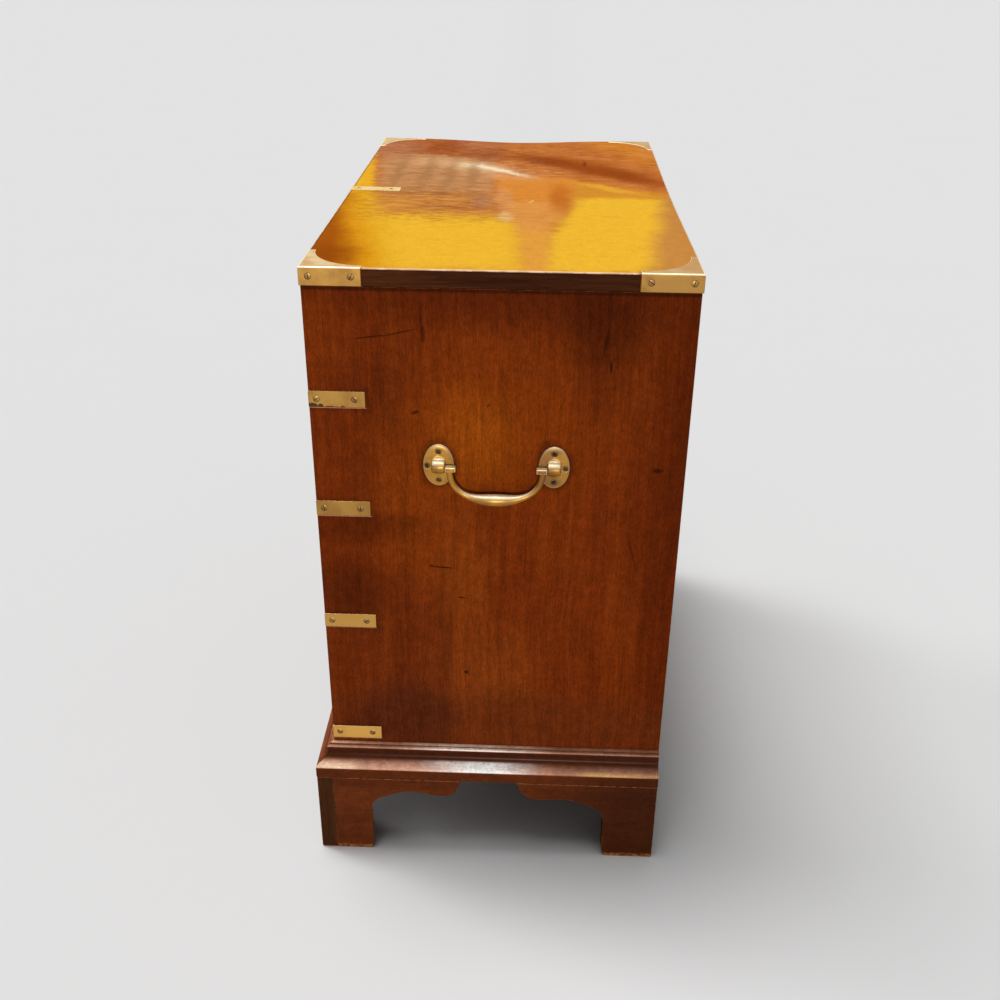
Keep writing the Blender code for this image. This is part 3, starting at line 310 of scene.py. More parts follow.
def top_wood():
    """The top board's old polish: yellow fields that are partly faded and partly a painted reflection of a
    lit room, a grey-brown bloom that is partly a painted reflection, pale painted highlights, and dark burns.

    Tables give millimetres along the depth and along the width, with the right end nearest.
    """
    wood = Wood("top_polish", ((190, 104, 44), (200, 116, 50), (208, 126, 56)), "x")
    wood.ragged = wood.shaken(wood.ragged, (0.040, 0.014, 0.0), 42.0, 4.0, 0.7)
    wood.grain = wood.place
    yellow_fade_and_reflection = (243, 187, 48)
    ground = [
        # rust-brown far left, golden far right
        ((178, 97, 46), [(-240, -430), (-20, -430), (0, -240), (-240, -240)], 30, 1.0),
        ((214, 134, 42), [(120, -430), (260, -430), (260, -200)], 40, 0.8),
        # grey-brown bloom, partly a painted reflection of the room, and the rough zone below it
        ((197, 138, 88), [(-225, -300), (-20, -250), (-16, 30), (-190, 30)], 14, 0.95),
        ((205, 134, 66), [(-192, 20), (-12, -10), (-4, 150), (-150, 165)], 26, 0.95),
    ]
    fields = [
        # yellow fields, partly faded and partly a painted reflection of a lit room: the left strip, the near
        # left and the right
        ((240, 178, 36), [(-240, -320), (-226, -220), (-197, 60), (-240, 300)], 8, 0.95),
        (yellow_fade_and_reflection, [(-205, 10), (-155, 135), (-160, 430), (-260, 430), (-240, -100)], 20, 0.97),
        (yellow_fade_and_reflection, [(-185, 140), (30, 155), (48, 260), (44, 430), (-200, 430)], 40, 0.97),
        (yellow_fade_and_reflection, [(112, 10), (255, 0), (255, 430), (55, 430), (66, 270)], 26, 0.97),
        # golden ground above the right field
        ((216, 146, 42), [(105, -100), (255, -20), (255, 15), (105, 20)], 16, 0.9),
        # orange trunk that narrows towards the right end
        ((223, 139, 52), [(-14, -125), (115, -105), (100, 80), (1, 80)], 12, 0.97),
        ((226, 152, 72), [(-2, 60), (102, 60), (67, 260), (34, 250)], 12, 0.93),
        ((229, 158, 62), [(32, 220), (70, 220), (66, 430), (38, 430)], 12, 0.95),
        # brown strip down the back edge
        ((200, 134, 66), [(246, 0), (270, 0), (270, 430), (190, 430)], 20, 0.92),
        # deeper gold, then a burn along the near left
        ((226, 160, 20), [(-260, -20), (-205, -20), (-120, 430), (-260, 430)], 34, 0.75),
        ((222, 146, 14), [(-260, 0), (-232, 0), (-136, 430), (-260, 430)], 26, 0.9),
        ((168, 84, 4), [(-260, 40), (-238, 40), (-170, 430), (-260, 430)], 20, 0.97),
    ]
    strokes = wood.noise(wood.stretch(wood.wavy, (1, 0.22, 1)), 85.0, 4.0, 0.7)

    def lay(areas):
        for colour, corners, soft, strength in areas:
            corners = [(y * MM, x * MM) for y, x in corners]
            wood.tint(colour, strength, wood.area(wood.ragged, (1, 0), corners, soft * MM))

    lay(ground)
    wood.tint((146, 80, 34), 0.45, wood.fit(strokes, 0.50, 0.68))
    wood.tint((230, 176, 120), 0.35, wood.fit(strokes, 0.46, 0.34))
    lay(fields)
    edge = TOP_LOW.y + FRONT_EDGE_DIRT
    wood.tint((92, 50, 18), 0.85, wood.fit(wood.axis("Y"), edge + FRONT_EDGE_FADE, edge - FRONT_EDGE_FADE))
    blots_and_highlights = [
        # dark band across the far part
        ((168, 84, 26), (135, -195), (170, 45), 40, 0.6, 0.95),
        ((148, 66, 14), (75, -240), (65, 26), 42, 0.7, 0.9),
        ((150, 68, 12), (180, -150), (85, 24), 42, 0.7, 0.85),
        ((160, 78, 32), (-110, -350), (35, 60), 20, 0.7, 0.8),
        ((168, 92, 50), (-35, -285), (30, 60), 0, 0.7, 0.7),
        ((196, 122, 80), (-60, -385), (30, 45), 0, 0.7, 0.7),
        ((190, 122, 84), (-200, -330), (40, 70), 0, 0.6, 0.7),
        # shades within the trunk
        ((196, 106, 30), (88, 30), (16, 90), 0, 0.6, 0.8),
        ((226, 154, 92), (4, 40), (14, 70), -3, 0.6, 0.8),
        # shades within the rough zone and the bloom
        ((184, 124, 84), (-30, 55), (16, 50), 0, 0.6, 0.85),
        ((176, 112, 62), (-100, 16), (80, 12), 0, 0.8, 0.7),
        ((180, 100, 44), (-45, 105), (40, 12), 8, 0.8, 0.6),
        ((222, 152, 62), (-150, 100), (30, 40), 0, 0.8, 0.6),
        ((214, 158, 108), (-120, -215), (60, 30), 0, 0.7, 0.7),
        # painted highlights: a pale glare beside the trunk and light streaks
        ((226, 176, 126), (-50, -175), (95, 36), 40, 0.95, 0.55),
        ((248, 222, 180), (-45, -186), (40, 18), 28, 0.95, 0.85),
        ((252, 232, 196), (-10, -162), (52, 9), 42, 0.9, 0.95),
        ((150, 72, 3), (-205, 365), (34, 55), 0, 0.8, 0.75),
        # small marks: a dash, a scratch and the ring of a cup
        ((112, 46, 8), (132, -222), (2.8, 20), -8, 0.8, 0.85),
        ((250, 206, 140), (44, 60), (1.2, 10), 6, 0.8, 0.9),
        ((206, 122, 36), (82, 190), (16, 10), 0, 0.8, 0.45),
        ((196, 120, 40), (78, 226), (12, 6), 0, 0.8, 0.45),
        ((240, 194, 130), (9, 148), (10, 24), 0, 0.9, 0.8),
        ((238, 170, 54), (165, -48), (55, 12), 38, 0.7, 0.8),
    ]
    for colour, centre, reach, turn, soft, strength in blots_and_highlights:
        turned = (0, 0, math.radians(-turn))
        wood.stain(colour, plan(*centre), plan(*reach, WIDE), turned, soft, strength)
    wood.tint((120, 62, 20), 0.16, wood.fit(strokes, 0.54, 0.74))
    thin = wood.noise(wood.stretch(wood.wavy, (1, 0.16, 1)), 240.0, 3.0, 0.7)
    scuffs_and_highlights = [
        # place, reach and softness of a zone, its colour, range of the noise and strength
        ((-105, 55), (125, 95), 0.4, (138, 72, 28), (0.50, 0.62), 0.55),
        ((-105, 55), (125, 95), 0.4, (240, 170, 60), (0.44, 0.36), 0.55),
        ((-90, 150), (130, 40), 0.7, (192, 122, 40), (0.46, 0.60), 0.75),
        ((-80, -330), (190, 85), 0.5, (118, 58, 20), (0.50, 0.62), 0.50),
        ((-80, -330), (190, 85), 0.5, (226, 152, 88), (0.44, 0.34), 0.50),
        # pale painted highlight streaks across the bloom
        ((-45, -165), (120, 80), 0.6, (248, 214, 166), (0.46, 0.36), 0.40),
    ]
    for centre, reach, soft, colour, span, strength in scuffs_and_highlights:
        zone = wood.patch(wood.ragged, plan(*centre), plan(*reach, WIDE), soft=soft)
        wood.tint(colour, strength, zone, wood.fit(thin, *span))
    # painted reflection of upright things in the room: darker bars across the bloom
    for y in (-175, -128, -90, -52):
        wood.stain((166, 116, 70), plan(y, -130), plan(8.5, 105, WIDE), soft=0.9, strength=0.62)
    return wood.finish(
        (238, 204, 172), 0.95, 0.6, streaks=0.05, pores=0.03, mottle=0.03, flecks=0.035,
        roughness=(0.32, 0.5), bump=0.08, coat_roughness=0.15,
    )


def edge_wood():
    wood = Wood("top_edge_polish", ((46, 20, 9), (62, 31, 15), (82, 44, 21)), "y", shift=0.4)
    return wood.finish((222, 180, 146), 0.9, 0.5, streaks=0.35, pores=0.3)


def panel_wood():
    """The side panels: orange-brown in the middle of the upper half, darker towards the edges and the foot.

    Tables give millimetres along the depth and up.
    """
    wood = Wood("side_polish", ((96, 35, 7), (107, 41, 8), (120, 50, 10)), "z", wander=0.03)
    clouds = [
        # orange middle of the upper half and lighter stretches below it
        ((126, 53, 8), (20, 720), (140, 110), 0.6, 0.55),
        ((148, 70, 9), (-20, 695), (50, 60), 0.8, 0.65),
        ((124, 53, 8), (-105, 600), (50, 110), 0.7, 0.65),
        ((126, 56, 12), (-35, 490), (40, 90), 0.7, 0.65),
        ((122, 55, 14), (-10, 310), (65, 90), 0.7, 0.65),
        ((120, 48, 8), (-200, 840), (35, 50), 0.6, 0.5),
        # dark edges
        ((80, 28, 6), (30, 905), (260, 50), 0.7, 0.8),
        ((62, 21, 4), (145, 860), (55, 55), 0.7, 0.75),
        ((82, 28, 5), (262, 620), (60, 500), 0.6, 0.8),
        ((80, 29, 6), (140, 780), (30, 50), 0.7, 0.5),
        ((66, 22, 5), (-165, 565), (70, 24), 0.6, 0.5),
        ((66, 23, 5), (-200, 455), (60, 50), 0.6, 0.6),
        ((84, 32, 8), (-130, 760), (22, 60), 0.7, 0.45),
        ((92, 39, 13), (50, 235), (330, 50), 0.5, 0.7),
    ]
    for colour, centre, reach, soft, strength in clouds:
        wood.stain(colour, side_view(*centre), side_view(*reach, WIDE), soft=soft, strength=strength)
    height = wood.axis("Z")
    joined = wood.area(wood.place, (1, 2), rectangle(*JOINED_BOARD), JOINT_SOFTNESS)
    wood.tint((84, 34, 11), 0.34, joined, wood.fit(height, 0.52, 0.40))
    wood.stain((74, 31, 13), side_view(-118, 245), side_view(68, 60, WIDE), soft=0.4, strength=0.75)
    dirt_and_shade = (44, 16, 5)
    straps = [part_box(f"side_strap_right_{number}") for number in range(1, 5)]
    for low, high in straps:
        corners = rectangle((low.y, low.z), (high.y, high.z))
        wood.tint(dirt_and_shade, 0.62, wood.area(wood.ragged, (1, 2), corners, STRAP_DIRT))
    for (low, high), strength in zip(straps, (0.7, 0.7, 0.25, 0.25)):
        corners = rectangle((low.y, low.z - SEAM), (high.y + SEAM, low.z - SEAM / 4))
        wood.tint((206, 140, 108), strength, wood.area(wood.place, (1, 2), corners, SEAM / 4))
    # painted shadow along the panel's top, under the top board
    under = PANEL_HIGH.z - UNDER_TOP_SHADE
    wood.tint(dirt_and_shade, 0.7, wood.fit(height, under, under + UNDER_TOP_SHADE / 2))
    for end in ("front", "rear"):
        low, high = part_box(f"carrying_plate_right_{end}")
        middle = (low + high) / 2
        reach = (WIDE, (high.y - low.y) / 2 + HALO, (high.z - low.z) / 2 + HALO)
        wood.stain(dirt_and_shade, (0, middle.y, middle.z), reach, soft=0.20, strength=0.50)
    marks = [
        # scratch near the top, nick below the handle and other dents
        ((-150, 833.5), (20, 1), 8, 0.8),
        ((-112, 840), (22, 1), 14, 0.7),
        ((-83, 838), (3, 12), 0, 0.6),
        ((-85, 860), (2, 20), 0, 0.45),
        ((-96, 733), (5.5, 2.4), 20, 0.75),
        ((-1.5, 745), (3, 1.6), 30, 0.6),
        ((151.5, 800), (1.8, 8), 0, 0.8),
        ((144, 835), (2.2, 22), -8, 0.55),
        ((220, 658), (6.5, 3.2), 0, 0.85),
        ((-64, 502.5), (15, 1.2), -3, 0.85),
        ((-79, 504.5), (2.6, 2), 0, 0.7),
        ((-37.5, 454), (5, 1.4), -6, 0.75),
        ((-31.5, 326.5), (3.4, 3), 0, 0.85),
        ((194, 532), (1, 26), 16, 0.5),
        ((210, 413), (3, 1.2), 0, 0.45),
        ((-205, 741.8), (24, 2.2), 0, 0.9),
    ]
    for centre, reach, turn, strength in marks:
        turned = (math.radians(turn), 0, 0)
        wood.stain(dirt_and_shade, side_view(*centre), side_view(*reach, WIDE), turned, 0.5, strength, wood.place)
    looks = {"streaks": 0.24, "pores": 0.18, "mottle": 0.10, "flecks": 0.15, "roughness": (0.3, 0.42)}
    return wood.finish((120, 62, 24), 0.6, **looks)


def plain_wood(name, tones, along, **looks):
    return Wood(name, tones, along, shift=0.7).finish(**looks)


def base_wood(name, along, painted_highlights):
    """Base frame and feet: painted highlights on the ogee's round and the beads, painted shade in the ogee's
    hollow, and the rear feet are darker.
    """
    wood = Wood(name, BASE_TONES, along, shift=0.7)
    wood.stain((46, 21, 9), (0, 0.30, 0.04), (WIDE, 0.19, 0.16), soft=0.5, strength=0.76)
    wood.tint((62, 30, 14), 0.28, wood.fit(wood.noise(wood.place, 95.0, 4.0, 0.7), 0.35, 0.65))
    height = wood.axis("Z")
    wear = wood.fit(wood.noise(wood.place, 130.0, 4.0, 0.7), 0.36, 0.60)
    wood.tint((156, 100, 56), 0.75, wood.fit(height, FOOT_WEAR, FOOT_WEAR / 3), wear)
    # painted highlights on the ogee's round and the beads, broken into spots
    spots = wood.noise(wood.stretch(wood.place, (1, 0.45, 1)), 300.0, 4.0, 0.75)
    cloud = wood.fit(wood.noise(wood.place, 14.0, 2.0), 0.35, 0.60, 0.72, 1.0)
    highlight_share = wood.times(wood.fit(spots, 0.36, 0.56, 0.74, 1.0), cloud)
    highlight_share = wood.times(highlight_share, wood.fit(wood.axis("Y"), 0.130, 0.000, 0.60, 1.0))
    sparkle = wood.fit(spots, 0.32, 0.50, 0.60, 1.0)
    low, high, soft = HOLLOW_SHADE
    under = wood.fit(height, high + soft, high - soft)
    # painted shade in the ogee's hollow
    wood.tint((58, 25, 12), 0.8, wood.fit(height, low - soft, low + soft), under)
    for low, high, fade, colour, glares in painted_highlights:
        rise = wood.fit(height, low - SHINE_EDGE, low + SHINE_EDGE)
        wood.tint(colour, 1.0, rise, wood.fit(height, high + fade, high - fade), highlight_share)
        for y, reach, top, fade, glare, strength in glares:
            under = wood.fit(height, top + fade, top - fade)
            patch = wood.patch(wood.ragged, (0, y, 0), (WIDE, reach, WIDE), soft=0.9)
            wood.tint(glare, strength, rise, under, patch, sparkle)
    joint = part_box("foot_rear_right")[1].z
    over = wood.fit(height, joint - JOINT_LINE, joint - JOINT_LINE / 2)
    under = wood.fit(height, joint + JOINT_LINE / 2, joint)
    wood.tint((176, 116, 78), 0.6, over, wear, under)
    looks = {"streaks": 0.12, "pores": 0.12, "mottle": 0.10, "flecks": 0.10}
    return wood.finish(WORN_MAHOGANY, 0.35, coat=0.05, coat_roughness=0.25, **looks)


def brass(
    name, clean, dull, tarnish, roughness=(0.32, 0.44), arris_colour=(252, 230, 178), arris_share=0.55,
    upper=0.0, chips=(), low=None, rear=None, metallic=0.75,
):
    """Old satin brass: a warm metal with dull patches, fine rub marks and bright arrises."""
    metal = Shader(name)
    cloud = metal.noise(metal.place, 34.0, 3.0, 0.55)
    share = metal.fit(cloud, 0.52 - tarnish / 2, 0.86 - tarnish / 2)
    metal.colour = metal.blend(share, clean, dull)
    if low:
        metal.tint(low, 1.0, metal.fit(metal.axis("Z"), 0.62, 0.20))
    if rear:
        metal.tint(rear, 0.55, metal.fit(metal.axis("Y"), 0.05, 0.20))
    metal.tint((104, 70, 30), 0.35, metal.fit(metal.noise(metal.place, 420.0, 3.0, 0.7), 0.63, 0.75))
    metal.tint(arris_colour, arris_share, metal.arris())
    # painted light: faces that face up are lightened as a painted highlight, faces that face down darkened as
    # painted shade
    if upper:
        up = metal.axis("Z", metal.add("ShaderNodeTexCoord").outputs["Normal"])
        metal.tint((255, 240, 200), upper, metal.fit(up, 0.32, 0.84))
        metal.tint((110, 74, 30), upper / 3, metal.fit(up, -0.3, -0.9))
    crumbled = metal.shaken(metal.place, (0.006,) * 3, 330.0, 3.0, 0.7)
    for centre, reach in chips:
        metal.tint((52, 26, 6), 0.95, metal.patch(crumbled, centre, reach, soft=0.12))
    rub = metal.noise(metal.stretch(metal.place, (1, 0.12, 1)), 700.0, 2.0)
    rough = metal.math("ADD", metal.fit(share, 0.0, 1.0, *roughness), metal.times(rub, 0.08))
    metal.set(Base_Color=metal.colour, Metallic=metallic, Roughness=rough)
    metal.relief(metal.math("ADD", metal.times(rub, 0.4), cloud), 0.10, RUB_DEPTH)
    return metal.material


FOOT_WEAR = 9 * MM  # height of the worn edge under the feet
JOINT_LINE = 1.2 * MM  # pale line where the feet meet the base frame
HOLLOW_SHADE = (0.1715, 0.1835, 0.0025)  # lowest and highest place of the painted shade in the ogee's hollow, softness
SHINE_EDGE = 0.9 * MM  # softness of a painted highlight band's lower edge
CASE_TONES = ((84, 30, 8), (104, 42, 10), (126, 56, 14))
BASE_TONES = ((76, 33, 11), (87, 39, 14), (100, 46, 18))
END_TONES = ((46, 25, 13), (56, 31, 16), (68, 38, 20))
LINING_TONES = ((150, 106, 62), (172, 126, 76), (190, 146, 92))
PINE_TONES = ((128, 88, 50), (150, 106, 62), (170, 124, 76))
WORN_MAHOGANY = (136, 72, 34)
OGEE_GLARES = [
    # place and reach along the depth, highest place, softness, colour and strength of each painted glare
    (-0.014, 0.056, 0.1690, 0.0016, (255, 254, 250), 1.0),
    (-0.115, 0.060, 0.1676, 0.0030, (224, 170, 144), 0.5),
    (-0.236, 0.040, 0.1655, 0.0040, (244, 208, 176), 0.85),
    (0.160, 0.022, 0.1630, 0.0022, (196, 150, 92), 0.9),
    (0.210, 0.045, 0.1630, 0.0022, (200, 154, 98), 0.9),
]
LOW_BEAD_GLARES = [(-0.020, 0.070, 0.1899, 0.0009, (255, 240, 228), 0.9)]
HIGH_BEAD_GLARES = [
    (-0.020, 0.070, 0.1944, 0.0008, (255, 232, 214), 0.7),
    (-0.235, 0.060, 0.1944, 0.0008, (236, 190, 150), 0.7),
]
# Lowest and highest place in metres and softness of the upper edge of each painted highlight band along the
# moulding
HIGHLIGHT_BANDS = [(0.1583, 0.1672, 0.0034), (0.1870, 0.1899, 0.0009), (0.1923, 0.1944, 0.0008)]
SIDE_HIGHLIGHTS = [
    ((204, 146, 118), OGEE_GLARES),
    ((206, 152, 124), LOW_BEAD_GLARES),
    ((206, 154, 124), HIGH_BEAD_GLARES),
]
# painted highlights on the front moulding's bands, with no glares
FRONT_HIGHLIGHTS = [((142, 78, 48), []), ((168, 108, 78), []), ((178, 118, 86), [])]
CASE_WEAR = {"arris_colour": WORN_MAHOGANY, "arris_share": 0.6}
END_WEAR = {"arris_colour": WORN_MAHOGANY, "arris_share": 0.5}
BARE = {"coat": 0.0, "roughness": (0.6, 0.8), "arris_share": 0.5}
LINING_LOOK = {"arris_colour": (200, 160, 110), **BARE}
PINE_LOOK = {"arris_colour": (186, 146, 98), **BARE}
TOP = top_wood()
TOP_EDGE = edge_wood()
PANEL = panel_wood()
CASE_X = plain_wood("case_polish", CASE_TONES, "x", **CASE_WEAR)
CASE_Z = plain_wood("case_upright_polish", CASE_TONES, "z", **CASE_WEAR)
BASE_Y = base_wood("base_side_polish", "y", [(*band, *look) for band, look in zip(HIGHLIGHT_BANDS, SIDE_HIGHLIGHTS)])
BASE_X = base_wood("base_front_polish", "x", [(*band, *look) for band, look in zip(HIGHLIGHT_BANDS, FRONT_HIGHLIGHTS)])
BASE_END = plain_wood("base_end_grain", END_TONES, "z", **END_WEAR)
LINING_Y = plain_wood("lining_side", LINING_TONES, "y", **LINING_LOOK)
LINING_X = plain_wood("lining_cross", LINING_TONES, "x", **LINING_LOOK)
PINE_X = plain_wood("pine_back", PINE_TONES, "x", **PINE_LOOK)
PINE_Z = plain_wood("pine_block", PINE_TONES, "z", **PINE_LOOK)

STRAP_LOW, STRAP_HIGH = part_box("side_strap_right_1")
CHIPS = [
    ((STRAP_HIGH.x, STRAP_LOW.y + along * MM, STRAP_LOW.z + up * MM), side_view(*reach, 0.02))
    for (along, up), reach in (
        # along and up from the lower front corner of the top strap, and reach along and up
        ((4, 1.6), (9, 3.6)),
        ((16, 1.0), (3.2, 3.4)),
        ((30, 0.2), (15, 1.3)),
        ((44, 0.4), (3, 1.8)),
    )
]
CREAM = (252, 236, 198)
FRAME_LOOK = {"low": (196, 148, 70), "rear": (110, 78, 32), "arris_colour": (138, 98, 42), "chips": CHIPS}
LIT_TOP_LOOK = {"arris_colour": CREAM, "arris_share": 0.95, "rear": (186, 130, 46)}
BRASS = brass("old_brass", (160, 119, 53), (132, 94, 38), 0.34, **FRAME_LOOK)
# painted highlight on the handles' upper faces, painted shade on their lower ones
HANDLE_BRASS = brass("handle_brass", (168, 118, 30), (124, 80, 18), 0.4, upper=0.95, metallic=0.5)
# painted highlight on the faces of corners and straps that face up
LIT_TOP_BRASS = brass("painted_highlight_brass", (242, 210, 146), (206, 164, 98), 0.4, **LIT_TOP_LOOK)
# painted highlight on the top strap's upper faces and on its screws
LIT_STRAP_BRASS = brass("top_strap_painted_highlight_brass", (255, 224, 146), (236, 194, 112), 0.34, arris_colour=CREAM)
SCREW_BRASS = brass("screw_brass", (92, 56, 20), (54, 32, 10), 0.5, roughness=(0.55, 0.65))
STRAP_SCREW = brass("strap_screw_brass", (160, 118, 54), (124, 86, 36), 0.4)

# Meshes


def new_piece(name, shape, materials=(), body=None, stands_for=None):
    """A piece from a bmesh, smooth except at sharp arrises. Without a body it is a shape for a cut."""
    mesh = bpy.data.meshes.new(name)
    bmesh.ops.recalc_face_normals(shape, faces=shape.faces)
    shape.to_mesh(mesh)
    shape.free()
    for material in materials:
        mesh.materials.append(material)
    mesh.shade_smooth()
    mesh.set_sharp_from_angle(angle=SHARP_ANGLE)
    piece = bpy.data.objects.new(name, mesh)
    bpy.context.scene.collection.objects.link(piece)
    if body:
        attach(piece, body)
        if stands_for:
            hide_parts(stands_for)
    return piece


def even_normals(piece):
    """Keeps wide faces flat to the eye beside their rounded arrises."""
    weighted = piece.modifiers.new("even_normals", "WEIGHTED_NORMAL")
    weighted.keep_sharp = True
    return piece


def combine(piece, operation, others):
    """Cuts other solids out of a piece or joins them to it, and removes them."""
    for other in others:
        step = piece.modifiers.new(operation, "BOOLEAN")
        step.operation = operation
        step.solver = "EXACT"
        step.object = other
    bpy.context.view_layer.update()
    made = bpy.data.meshes.new_from_object(piece.evaluated_get(bpy.context.evaluated_depsgraph_get()))
    piece.modifiers.clear()
    piece.data = made
    for other in others:
        bpy.data.objects.remove(other)


def carve(piece, *cutters):
    combine(piece, "DIFFERENCE", cutters)


def merge(piece, *others):
    combine(piece, "UNION", others)


def absorb(shape, part):
    """Adds a part to a shape that holds several."""
    mesh = bpy.data.meshes.new("part")
    part.to_mesh(mesh)
    part.free()
    shape.from_mesh(mesh)
    bpy.data.meshes.remove(mesh)


def arris_layer(shape):
    return shape.faces.layers.float.get("arris") or shape.faces.layers.float.new("arris")


def round_edges(shape, picked, width, segments):
    """Rounds the edges that a test picks and marks their faces as arris, for the wear."""
    mark = arris_layer(shape)
    edges = [edge for edge in shape.edges if picked(edge)]
    made = bmesh.ops.bevel(
        shape, geom=edges, offset=width, segments=segments, profile=0.5, affect="EDGES", clamp_overlap=True
    )
    for face in made["faces"]:
        face[mark] = 1.0
    return shape


def rounded(shape, width, sharper_than=SHARP_ANGLE, segments=ARRIS_SEGMENTS):
    """Rounds the sharp edges."""

    def sharp(edge):
        return len(edge.link_faces) == 2 and edge.calc_face_angle() > sharper_than

    return round_edges(shape, sharp, width, segments)


def mark_arris(shape, test, amount=1.0):
    """Marks the faces that a test picks by their middles as arris, for the wear."""
    mark = arris_layer(shape)
    for face in shape.faces:
        if test(face.calc_center_median()):
            face[mark] = amount


def slab_shape(corner, opposite, arris=BOARD_ARRIS):
    """A board between two opposite corners, with rounded arrises."""
    low = Vector([min(pair) for pair in zip(corner, opposite)])
    high = Vector([max(pair) for pair in zip(corner, opposite)])
    shape = bmesh.new()
    place = Matrix.Translation((low + high) / 2) @ Matrix.Diagonal((*(high - low), 1))
    bmesh.ops.create_cube(shape, size=1, matrix=place)
    return rounded(shape, arris)


def add_cone(shape, low_radius, high_radius, length, place, segments=SCREW_SEGMENTS):
    radii = {"radius1": low_radius, "radius2": high_radius}
    bmesh.ops.create_cone(shape, cap_ends=True, segments=segments, depth=length, matrix=place, **radii)


def prism_shape(outline, axis, low, high, far_outline=None):
    """A solid with a flat outline, between two places along an axis. Its far end can have another outline."""
    order = {"x": (2, 0, 1), "y": (0, 2, 1)}[axis]
    shape = bmesh.new()
    rings = []
    for level, corners in ((low, outline), (high, far_outline or outline)):
        points = [(*point, level) for point in corners]
        rings.append([shape.verts.new([point[i] for i in order]) for point in points])
    for i in range(len(outline)):
        shape.faces.new((rings[0][i - 1], rings[0][i], rings[1][i], rings[1][i - 1]))
    shape.faces.new(rings[0])
    shape.faces.new(rings[1])
    bmesh.ops.recalc_face_normals(shape, faces=shape.faces)
    return shape


def loft_shape(rings, closed_ends=True):
    """A skin through rings that have the same number of points, with flat ends or open."""
    shape = bmesh.new()
    rows = [[shape.verts.new(point) for point in ring] for ring in rings]
    for row, following in zip(rows, rows[1:]):
        for i, vert in enumerate(row):
            shape.faces.new((row[i - 1], vert, following[i], following[i - 1]))
    if closed_ends:
        shape.faces.new(rows[0])
        shape.faces.new(rows[-1])
    bmesh.ops.recalc_face_normals(shape, faces=shape.faces)
    return shape


def node_shape(node):
    """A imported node's mesh with its flat faces made whole."""
    shape = bmesh.new()
    shape.from_mesh(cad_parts[node].data)
    bmesh.ops.remove_doubles(shape, verts=shape.verts, dist=WELD)
    bmesh.ops.dissolve_limit(shape, angle_limit=FLAT_ANGLE, verts=shape.verts, edges=shape.edges)
    bmesh.ops.recalc_face_normals(shape, faces=shape.faces)
    return shape


def grown(node, gap=RECESS_GAP):
    """A cutter in a node's shape, larger by a gap all round."""
    shape = node_shape(node)
    shape.normal_update()
    moves = [(vert, vert.normal * vert.calc_shell_factor() * gap) for vert in shape.verts]
    for vert, move in moves:
        vert.co += move
    return new_piece(f"{node}_recess", shape)


def middle_of(node):
    low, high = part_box(node)
    return (low + high) / 2


# Top board

CORNERS = [f"top_corner_{end}_{side}" for end in ("front", "back") for side in SIDES]
TOP_FACE_TILT = 0.35  # faces that point up more than this are polished as the top


def top_height(x, y):
    """Height of the dished and cupped upper surface."""
    across = x / TOP_WIDTH
    along = (y - TOP_MIDDLE) / TOP_DEPTH
    dish = (BACK_DISH + FRONT_DISH) / 2 + (BACK_DISH - FRONT_DISH) * along
    dish *= math.cos(math.pi * across) ** 2
    towards_left = max(0.0, (-2 * across - CUP_START_SHARE) / (1 - CUP_START_SHARE))
    rise = towards_left**2 * (3 - 2 * towards_left)
    return TOP_SURFACE - dish - CUP_DEPTH * rise * math.cos(math.pi * along) ** 4


def make_top_board():
    shape = bmesh.new()
    place = Matrix.Translation((0, TOP_MIDDLE, 0)) @ Matrix.Diagonal((TOP_WIDTH, TOP_DEPTH, 1, 1))
    bmesh.ops.create_grid(shape, x_segments=TOP_COLUMNS, y_segments=TOP_ROWS, size=1 / 2, matrix=place)
    for vert in shape.verts:
        vert.co.z = top_height(vert.co.x, vert.co.y)
    below = bmesh.ops.extrude_face_region(shape, geom=shape.faces[:])["geom"]
    for vert in (v for v in below if isinstance(v, bmesh.types.BMVert)):
        vert.co.z = TOP_LOW.z
    bmesh.ops.recalc_face_normals(shape, faces=shape.faces)
    rounded(shape, TOP_ARRIS)
    shape.normal_update()
    for face in shape.faces:
        face.material_index = 0 if face.normal.z > TOP_FACE_TILT else 1
    mark_arris(shape, lambda middle: middle.z < TOP_LOW.z + 2 * TOP_ARRIS, 0.0)
    board = new_piece("fine_top_board", shape, [TOP, TOP_EDGE], "case", "top_board")
    carve(board, *[grown(node) for node in (*CORNERS, "top_front_strap")])
    even_normals(board)


# Screws


def screw_mesh():
    """A slotted countersunk head with its face at z = 0."""
    head = bmesh.new()
    sunk = Matrix.Translation((0, 0, -SCREW_LENGTH / 2))
    add_cone(head, SCREW_RADIUS * SCREW_TAPER, SCREW_RADIUS, SCREW_LENGTH, sunk)
    rounded(head, SCREW_ROUND, SCREW_SHARP_ANGLE, 2)
    slot = bmesh.new()
    size = (3 * SCREW_RADIUS, SCREW_SLOT_WIDTH, 2 * SCREW_SLOT_DEPTH, 1)
    bmesh.ops.create_cube(slot, size=1, matrix=Matrix.Diagonal(size))
    piece = new_piece("screw_pattern", head, [SCREW_BRASS])
    carve(piece, new_piece("slot_pattern", slot))
    mesh = piece.data
    bpy.data.objects.remove(piece)
    return mesh


SCREW = screw_mesh()
TURNS = random.Random(7)


